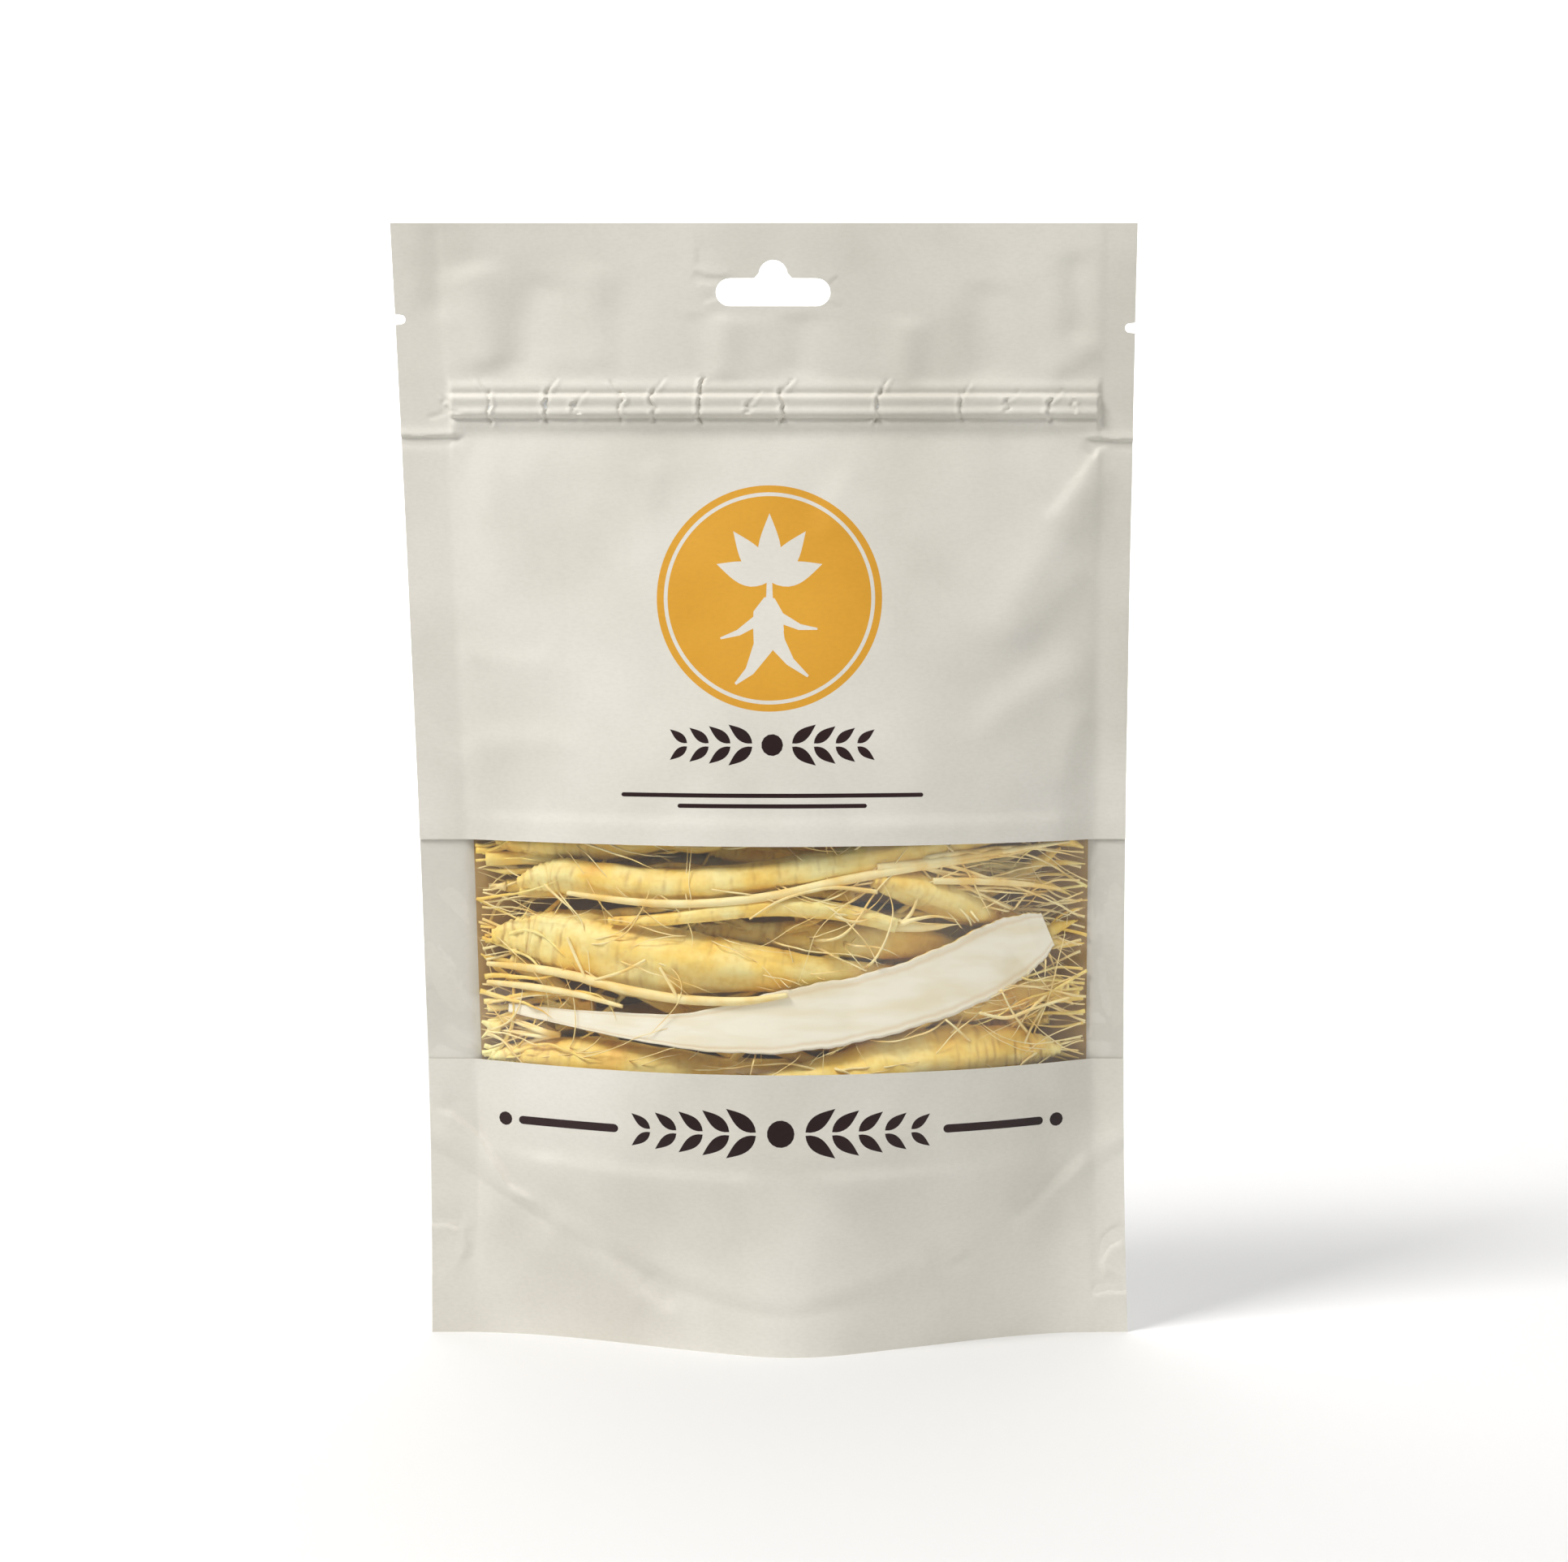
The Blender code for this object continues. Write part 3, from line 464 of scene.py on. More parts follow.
def hang_hole():
    """The hanging slot: a long round-ended slot with a bump in the middle of its upper side."""
    cx = float(chamber_centre(SLOT_HEIGHT))
    end = SLOT_HALF_WIDTH - SLOT_HALF_HEIGHT
    top = SLOT_HEIGHT + SLOT_HALF_HEIGHT
    bump = top + BUMP_RISE - BUMP_TOP_RADIUS
    line = arc(cx - end, SLOT_HEIGHT, SLOT_HALF_HEIGHT, 270, 90, 12)
    line += [(cx - BUMP_HALF_WIDTH, top), *arc(cx, bump, BUMP_TOP_RADIUS, 175, 5, 12), (cx + BUMP_HALF_WIDTH, top)]
    return divided(line + arc(cx + end, SLOT_HEIGHT, SLOT_HALF_HEIGHT, 90, -90, 12), 0.7)


def disc(cx, cz, radius):
    return arc(cx, cz, radius, 0, 360, max(12, int(radius * 6)))[:-1]


def bar(cx, cz, width, height):
    """A level bar with round ends."""
    reach, radius = (width - height) / 2, height / 2
    return arc(cx + reach, cz, radius, -90, 90, 6) + arc(cx - reach, cz, radius, 90, 270, 6)


def leaf(cx, cz, length, width, angle):
    """A pointed leaf that grows from a point at an angle."""
    shares = np.linspace(0, 1, 11)
    swell = np.sin(np.pi * shares**0.85) * (1 - 0.25 * shares)
    upper = [(s * length, w * width / 2) for s, w in zip(shares, swell)]
    lower = [(s * length, -w * width / 2) for s, w in zip(shares[-2:0:-1], swell[-2:0:-1])]
    turn = math.radians(angle)
    cosine, sine = math.cos(turn), math.sin(turn)
    return [(cx + u * cosine - v * sine, cz + u * sine + v * cosine) for u, v in upper + lower]


def taper(path, widths):
    """A stroke along a path, with a width at each of its points."""
    left, right = [], []
    for i, (x, z) in enumerate(path):
        (ax, az), (bx, bz) = path[max(i - 1, 0)], path[min(i + 1, len(path) - 1)]
        length = math.dist((ax, az), (bx, bz))
        nx, nz = -(bz - az) / length, (bx - ax) / length
        left.append((x + nx * widths[i] / 2, z + nz * widths[i] / 2))
        right.append((x - nx * widths[i] / 2, z - nz * widths[i] / 2))
    return left + right[::-1]


BADGE_X = 1.2
BADGE_Z = 160.0
BADGE_RADIUS = 24.0
UPPER_MARKS_Z = 129.0
LOWER_MARKS_Z = 47.6


def badge_shapes():
    """A round ochre badge, its thin ring, and the plain plant left blank in it: leaves over a forked root."""
    blank = [leaf(0, 3.5, 14.5 - 1.1 * abs(a - 90) / 30, 5.6, a) for a in (18, 54, 90, 126, 162)]
    blank += [taper(path, widths) for path, widths in (
        ([(0, 4), (0, -1)], [1.1, 1.5]),
        ([(0, 0), (-0.3, -3), (-0.2, -6.5), (-1.4, -10.5), (-4.2, -15.5), (-7.2, -18.2)],
         [2.2, 6.2, 6.6, 4.2, 2.0, 0.5]),
        ([(0.4, -5), (1.6, -9.5), (4.4, -13.5), (8.2, -16.6)], [4.6, 3.6, 1.9, 0.5]),
        ([(1.8, -4), (6.4, -6.2), (10.2, -6.6)], [2.4, 1.3, 0.4]),
        ([(-2.0, -4.4), (-6.6, -7.4), (-10.4, -8.6)], [2.4, 1.3, 0.4]))]
    badge, *ring = [disc(BADGE_X, BADGE_Z, BADGE_RADIUS - less) for less in (0, 1.5, 2.3)]
    return badge, ring, [[(BADGE_X + x, BADGE_Z + z) for x, z in line] for line in blank]


def leaf_row(cx, cz, pairs, first, gap, size):
    """Leaves in mirrored pairs along a level line, getting smaller outwards."""
    shapes = []
    for i in range(pairs):
        reach = first + i * gap
        length = size * (1 - 0.09 * i)
        for side in (-1, 1):
            for lift in (-1, 1):
                angle = (90 - side * 90) + side * lift * 38
                shapes.append(leaf(cx + side * reach, cz + lift * 0.35, length, length * 0.42, angle))
    return shapes


def upper_marks():
    """Dark ornaments under the badge: a leaf row and a fine double rule."""
    cx = BADGE_X + 0.6
    row = [disc(cx, UPPER_MARKS_Z, 2.3), *leaf_row(cx, UPPER_MARKS_Z, 4, 4.2, 4.6, 6.4)]
    return [*row, bar(cx, 118.4, 64, 0.9), bar(cx, 116.2, 40, 0.9)]


def lower_marks():
    """Dark ornaments below the window: a bold leaf row between long rules."""
    cx, cz = 3.6, LOWER_MARKS_Z
    shapes = [disc(cx, cz, 2.9), *leaf_row(cx, cz, 5, 5.2, 5.6, 8.0)]
    for side in (-1, 1):
        shapes += [bar(cx + side * 45.5, cz, 22, 1.8), disc(cx + side * 59.5, cz, 1.5)]
    return shapes


def inside(points, outline):
    """Which points lie inside a closed outline."""
    x, z = points[:, 0], points[:, 1]
    hit = np.zeros(len(points), bool)
    for (ax, az), (bx, bz) in zip(outline, [*outline[1:], outline[0]]):
        if az == bz:
            continue
        crosses = (az > z) != (bz > z)
        hit ^= crosses & (x < (bx - ax) * (z - az) / (bz - az) + ax)
    return hit


def any_inside(points, outlines):
    hit = np.zeros(len(points), bool)
    for outline in outlines:
        low, high = np.min(outline, 0), np.max(outline, 0)
        near = np.all((points >= low) & (points <= high), 1)
        hit[near] |= inside(points[near], outline)
    return hit


def hex_points(low_x, high_x, low_z, high_z, pitch):
    rows = []
    for i, z in enumerate(np.arange(low_z, high_z, pitch * math.sqrt(3) / 2)):
        x = np.arange(low_x + pitch / 2 * (i % 2), high_x, pitch)
        rows.append(np.column_stack([x, np.full(len(x), z)]))
    return np.concatenate(rows)


def flat_mesh(outline, holes, prints, pitch, dense=()):
    """Triangles that fill an outline but not its holes, with edges along every printed shape.

    Each dense box gives its low and high x, its low and high z, and its own pitch.
    """
    points, edges = [], []
    for line in [outline, *holes, *prints]:
        start = len(points)
        points += line
        edges += [(start + i, start + (i + 1) % len(line)) for i in range(len(line))]
    (low_x, low_z), (high_x, high_z) = np.min(outline, 0), np.max(outline, 0)
    grid = hex_points(low_x, high_x, low_z, high_z, pitch)
    for low_x, high_x, low_z, high_z, fine_pitch in dense:
        box = (grid[:, 0] > low_x) & (grid[:, 0] < high_x) & (grid[:, 1] > low_z) & (grid[:, 1] < high_z)
        grid = np.concatenate([grid[~box], hex_points(low_x, high_x, low_z, high_z, fine_pitch)])
    tree = kdtree.KDTree(len(points))
    for i, (x, z) in enumerate(points):
        tree.insert((x, z, 0), i)
    tree.balance()
    clear = np.array([tree.find((x, z, 0))[2] > EDGE_CLEAR for x, z in grid])
    everything = [Vector(p) for p in [*points, *grid[clear & inside(grid, outline)]]]
    verts, _, faces, *_ = delaunay_2d_cdt(everything, edges, [], 0, 1e-6)
    verts, faces = np.array([tuple(v) for v in verts]), np.array(faces)
    middle = verts[faces].mean(1)
    keep = inside(middle, outline) & ~any_inside(middle, holes)
    return verts, faces[keep], middle[keep]


def linked(name, data):
    made = bpy.data.objects.new(name, data)
    bpy.context.scene.collection.objects.link(made)
    return made


def sheet_piece(name, slot, nodes, points, faces, looks, kinds):
    """A thin closed sheet from its points and faces, which stands for its nodes."""
    mesh = bpy.data.meshes.new(name)
    mesh.from_pydata((points * MM).tolist(), [], faces)
    mesh.validate()
    for look in looks:
        mesh.materials.append(look)
    slots = np.zeros(len(mesh.polygons), int)
    slots[: len(kinds)] = kinds
    mesh.polygons.foreach_set("material_index", slots)
    mesh.shade_smooth()
    mesh.set_sharp_from_angle(angle=math.radians(50))
    dress(linked(name, mesh), slot, *nodes)


def flat_piece(name, nodes, verts, faces, outer, inner, looks, kinds):
    """A paper sheet over a flat mesh, with its outer and inner depth at each point."""
    count = len(verts)
    skins = [np.column_stack([verts[:, 0], depth, verts[:, 1]]) for depth in (outer, inner)]
    ways = {way: True for a, b, c in faces.tolist() for way in ((a, b), (b, c), (c, a))}
    rim = [[b, a, a + count, b + count] for a, b in ways if (b, a) not in ways]
    turned = faces[:, ::-1] + count
    sheet_piece(name, "paper", nodes, np.concatenate(skins), faces.tolist() + turned.tolist() + rim, looks, kinds)


def grid_piece(name, slot, nodes, outer, inner, look):
    """A sheet from two grids of points alike."""
    rows, columns = outer.shape[:2]
    count = rows * columns
    index = np.arange(count).reshape(rows, columns)
    quads = np.stack([index[:-1, :-1], index[:-1, 1:], index[1:, 1:], index[1:, :-1]], -1).reshape(-1, 4)
    loop = [*index[0], *index[1:, -1], *index[-1, -2::-1], *index[-2:0:-1, 0]]
    rim = [[q, p, p + count, q + count] for p, q in zip(loop, [*loop[1:], loop[0]])]
    points = np.concatenate([outer.reshape(-1, 3), inner.reshape(-1, 3)])
    sheet_piece(name, slot, nodes, points, quads.tolist() + (quads[:, ::-1] + count).tolist() + rim, [look], [])


def dress(piece, slot, *nodes):
    """The piece stands for its nodes, and rides on the pouch."""
    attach(piece, "root")
    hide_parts(*nodes)


# Materials

class Look:
    """A material with its shader, and the few nodes that the looks here need."""

    def __init__(self, name, colour, roughness):
        self.material = bpy.data.materials.new(name)
        self.material.use_nodes = True
        self.nodes, self.links = self.material.node_tree.nodes, self.material.node_tree.links
        self.shader = self.nodes["Principled BSDF"]
        self.set("Base Color", (*colour, 1))
        self.set("Roughness", roughness)

    def set(self, socket, value):
        self.shader.inputs[socket].default_value = value

    def paint(self, colour):
        self.links.new(colour, self.shader.inputs["Base Color"])

    def noise(self, scale, detail, stretch=(1, 1, 1)):
        """Noise in the object's own space, in cells per metre."""
        place, turn = self.nodes.new("ShaderNodeTexCoord"), self.nodes.new("ShaderNodeMapping")
        turn.inputs["Scale"].default_value = stretch
        self.links.new(place.outputs["Object"], turn.inputs["Vector"])
        texture = self.nodes.new("ShaderNodeTexNoise")
        texture.inputs["Scale"].default_value = scale
        texture.inputs["Detail"].default_value = detail
        self.links.new(turn.outputs["Vector"], texture.inputs["Vector"])
        return texture.outputs["Fac"]

    def groove(self):
        """The groove value that a root's mesh has at each point."""
        made = self.nodes.new("ShaderNodeAttribute")
        made.attribute_name = "groove"
        return made.outputs["Fac"]

    def ramp(self, factor, *stops):
        made = self.nodes.new("ShaderNodeValToRGB")
        elements = made.color_ramp.elements
        while len(elements) < len(stops):
            elements.new(0.5)
        for element, (place, colour) in zip(elements, stops):
            element.position = place
            element.color = (*colour, 1)
        self.links.new(factor, made.inputs["Fac"])
        return made.outputs["Color"]

    def mix(self, factor, a, b, how="MIX"):
        made = self.nodes.new("ShaderNodeMix")
        made.data_type = "RGBA"
        made.blend_type = how
        for socket, value in (("Factor", factor), ("A", a), ("B", b)):
            target = next(s for s in made.inputs if s.name == socket and s.enabled)
            if isinstance(value, (float, tuple)):
                target.default_value = value
            else:
                self.links.new(value, target)
        return next(s for s in made.outputs if s.enabled)

    def bump(self, height, strength, distance):
        made = self.nodes.new("ShaderNodeBump")
        made.inputs["Strength"].default_value = strength
        made.inputs["Distance"].default_value = distance
        self.links.new(height, made.inputs["Height"])
        self.links.new(made.outputs["Normal"], self.shader.inputs["Normal"])


def paper_material(name, dark, middle, light, roughness=0.62):
    """Matte laminated paper: cloudy tone, fine fibres and a faint tooth."""
    look = Look(name, middle, roughness)
    cloud = look.ramp(look.noise(22, 3), (0.36, dark), (0.50, middle), (0.64, light))
    fibre = look.ramp(look.noise(900, 5, (1, 1, 2.2)), (0.3, (0.93, 0.93, 0.92)), (0.62, (1, 1, 1)))
    look.paint(look.mix(0.6, cloud, fibre, "MULTIPLY"))
    look.set("Specular IOR Level", 0.35)
    look.bump(look.noise(1400, 4), 0.25, 0.0001)
    return look.material


def film_material():
    """Clear glossy film: mostly seen through, with soft bright reflections."""
    look = Look("clear_film", (0.93, 0.94, 0.93), 0.07)
    look.set("Metallic", 0.75)
    look.set("Alpha", 0.05)
    return look.material


def skin_material():
    """Ginseng skin: golden cream, with painted shade in dark brown along its ring grooves, and fine lengthwise
    streaks.
    """
    look = Look("root_skin", (0.80, 0.62, 0.33), 0.55)
    patch = look.ramp(look.noise(70, 4), (0.28, (0.86, 0.48, 0.06)), (0.44, (0.97, 0.69, 0.15)),
                      (0.64, (0.98, 0.86, 0.38)))
    # Painted shade: the deeper a ring groove, the nearer the skin goes to a dark brown
    depth = look.ramp(look.groove(), (0.1, (0, 0, 0)), (0.9, (0.75, 0.75, 0.75)))
    deep = look.mix(depth, patch, (0.40, 0.17, 0.025, 1))
    speck = look.ramp(look.noise(620, 4), (0.34, (0.92, 0.86, 0.74)), (0.55, (1, 1, 1)))
    look.paint(look.mix(0.8, deep, speck, "MULTIPLY"))
    look.set("Specular IOR Level", 0.4)
    look.set("Subsurface Weight", 0.08)
    look.set("Subsurface Scale", 0.002)
    look.bump(look.noise(420, 5), 0.35, 0.0004)
    return look.material


def flesh_material():
    """The dry cut face: cream, with faint fibres along the root and a darker ring near its rim."""
    look = Look("root_flesh", (0.93, 0.88, 0.72), 0.6)
    fibre = look.ramp(look.noise(160, 5, (0.3, 1, 1.6)), (0.30, (0.88, 0.79, 0.56)), (0.60, (0.96, 0.91, 0.75)))
    look.paint(look.mix(look.groove(), fibre, (0.72, 0.50, 0.22, 1)))
    look.bump(look.noise(300, 4, (0.4, 1, 1)), 0.3, 0.0003)
    return look.material


def rootlet_material():
    look = Look("rootlets", (0.88, 0.74, 0.46), 0.6)
    look.paint(look.ramp(look.noise(150, 3), (0.35, (0.90, 0.62, 0.17)), (0.6, (0.98, 0.85, 0.44))))
    return look.material


def zip_material():
    look = Look("zip_plastic", (0.82, 0.83, 0.82), 0.28)
    look.paint(look.ramp(look.noise(60, 3), (0.35, (0.76, 0.77, 0.76)), (0.65, (0.86, 0.87, 0.86))))
    look.bump(look.noise(500, 3), 0.1, 0.0002)
    return look.material


# Walls

PAPER = (0.66, 0.635, 0.565), (0.72, 0.695, 0.625), (0.76, 0.735, 0.67)
OCHRE = (0.64, 0.305, 0.022), (0.70, 0.342, 0.026), (0.74, 0.37, 0.032)
# Painted shade: dark browns for the back wall's inside, which darken the gaps seen between the roots
GAP_SHADE_TONES = (0.48, 0.30, 0.10), (0.55, 0.36, 0.13), (0.62, 0.42, 0.17)
DARK = (0.012, 0.0015, 0.002), (0.016, 0.002, 0.003), (0.022, 0.004, 0.005)


def wall_reach(x, z, liner_top, relief):
    """Distance from the middle plane to a paper wall's inner face, before it sways."""
    return kept_inside(bow(x, z) + zip_relief(x, z) + wall_offset(x, z, liner_top) + relief(x, z))


def front_depths(verts, liner_top):
    """Outer and inner depths of a front paper sheet, as distances towards the back."""
    x, z = verts[:, 0], verts[:, 1]
    outer, inner = sheet_depths(wall_reach(x, z, liner_top, front_relief))
    shift = sway(x, z)
    return shift - outer, shift - inner


def front_upper(paper, ochre, dark):
    badge, ring, blanks = badge_shapes()
    marks = upper_marks()
    zip_low, zip_high = ZIP_HEIGHT - 5.5, ZIP_HEIGHT + 6
    dense = [(-90, 90, zip_low, zip_high, ZIP_PITCH), (-90, -62, 190, zip_low, ZIP_PITCH),
             (62, 90, 186, zip_low, ZIP_PITCH), (-18, -8, 219, 235, CREASE_PITCH), (12, 19, 219, 232, CREASE_PITCH)]
    prints = [divided(line) for line in [badge, *blanks, *ring, *marks]]
    verts, faces, middle = flat_mesh(panel_outline(WINDOW_HIGH, HEIGHT), [hang_hole()], prints, PAPER_PITCH, dense)
    bare = any_inside(middle, blanks) | (inside(middle, ring[0]) & ~inside(middle, ring[1]))
    kinds = np.where(any_inside(middle, marks), 2, inside(middle, badge) & ~bare)
    outer, inner = front_depths(verts, WINDOW_HIGH + FILM_OVERLAP)
    flat_piece("front_upper_paper", ["front_upper"], verts, faces, outer, inner, [paper, ochre, dark], kinds)


def front_lower(paper, dark):
    marks = lower_marks()
    dense = [(-76, -46, 20, 52, SEAM_PITCH), (66, 84, 5, 24, SEAM_PITCH)]
    verts, faces, middle = flat_mesh(panel_outline(0.0, WINDOW_LOW), [], [divided(line) for line in marks],
                                     PAPER_PITCH, dense)
    outer, inner = front_depths(verts, math.inf)
    kinds = any_inside(middle, marks).astype(int)
    flat_piece("front_lower_paper", ["front_lower"], verts, faces, outer, inner, [paper, dark], kinds)


def back_wall(paper, gap_shade_look):
    """The back sheet, with painted shade in dark brown on its inside face up to the zip, which darkens the gaps
    between the roots.
    """
    heights = np.arange(2.0, 196.0, 2.0)
    shade_outline = [(float(chamber_x(z, share)), float(z)) for share, up in ((0.985, heights), (-0.985, heights[::-1]))
              for z in up]
    dense = [(-90, 90, ZIP_HEIGHT - 6, ZIP_HEIGHT + 6, BACK_ZIP_PITCH)]
    verts, faces, middle = flat_mesh(panel_outline(0.0, HEIGHT), [hang_hole()], [divided(shade_outline, 2.0)],
                                     BACK_PITCH, dense)
    x, z = verts[:, 0], verts[:, 1]
    outer, inner = sheet_depths(wall_reach(x, z, FOLD_HEIGHT + FOLD_LIP, back_relief))
    shift = sway(x, z)
    # Painted shade: the inner faces within this outline take the dark brown instead of the paper
    kinds = np.concatenate([np.zeros(len(faces), int), inside(middle, shade_outline)])
    flat_piece("back_paper", ["back_lower", "back_upper"], verts, faces, shift + outer, shift + inner,
               [paper, gap_shade_look], kinds)


def window_film(film):
    heights = np.linspace(WINDOW_LOW - FILM_OVERLAP, WINDOW_HIGH + FILM_OVERLAP, FILM_GRID[0])
    z, share = np.meshgrid(heights, np.linspace(-1, 1, FILM_GRID[1]), indexing="ij")
    x = side_x(z, share)
    shown = smooth((z - WINDOW_LOW + 1) / 3) * smooth((WINDOW_HIGH + 1 - z) / 3)
    lapped = np.minimum(0.7 * front_relief(x, z) * (1 - shown), 0)
    waves = np.log1p(np.exp(8 * (film_relief(x, z) + 0.2))) / 8 - 0.2
    out = kept_inside(bow(x, z) + layer(x, z, LINER_IN) + waves * shown + lapped)
    outer, inner = [np.stack([x, sway(x, z) - out - depth, z], -1) for depth in (SHEET * 0.6, 0.0)]
    grid_piece("window_clear_film", "film", ["window_film"], outer, inner, film)


def base_gusset(paper):
    """The folded base panel: skirts inside both walls up to the curved seal, then a web over the fold."""
    turn = np.linspace(-1, 1, GUSSET_COLUMNS)
    foot = side_x(0.0, turn)

    def half(sheet, depth, side, relief):
        leave = base_seal(foot) + sheet
        top = base_fold(foot) + sheet + FOLD_LIP / 5 * (sheet > 0)
        rows = []
        for share in np.linspace(0, 1, SKIRT_ROWS):
            z = leave * share
            x = side_x(z, turn)
            under = layer(x, z, PAPER_IN) - layer(x, z, depth)
            out = np.maximum(wall_reach(x, z, math.inf, relief) - under, PRESSED[depth])
            rows.append((x, side * out + sway(x, z), z))
        x, y, z = rows[-1]
        drift = sway(x, z)
        for t in np.linspace(0, 1, WEB_ROWS)[1:]:
            ripple = 0.5 * math.sin(math.pi * t) * soft_noise(x, np.full_like(x, 20 * t), 16, 32)
            rise = math.sin(math.pi / 2 * t) + ripple / 14
            rows.append((x, drift + (y - drift) * (1 - t), z + (top - z) * rise))
        return rows

    outer, inner = [
        np.array([np.stack(p, -1) for p in half(sheet, depth, -1, front_relief)
                  + half(sheet, depth, 1, back_relief)[-2::-1]])
        for sheet, depth in ((SHEET, LINER_OUT), (0.0, LINER_IN))]
    grid_piece("base_gusset_paper", "paper", ["base_gusset"], outer, inner, paper)


# Roots

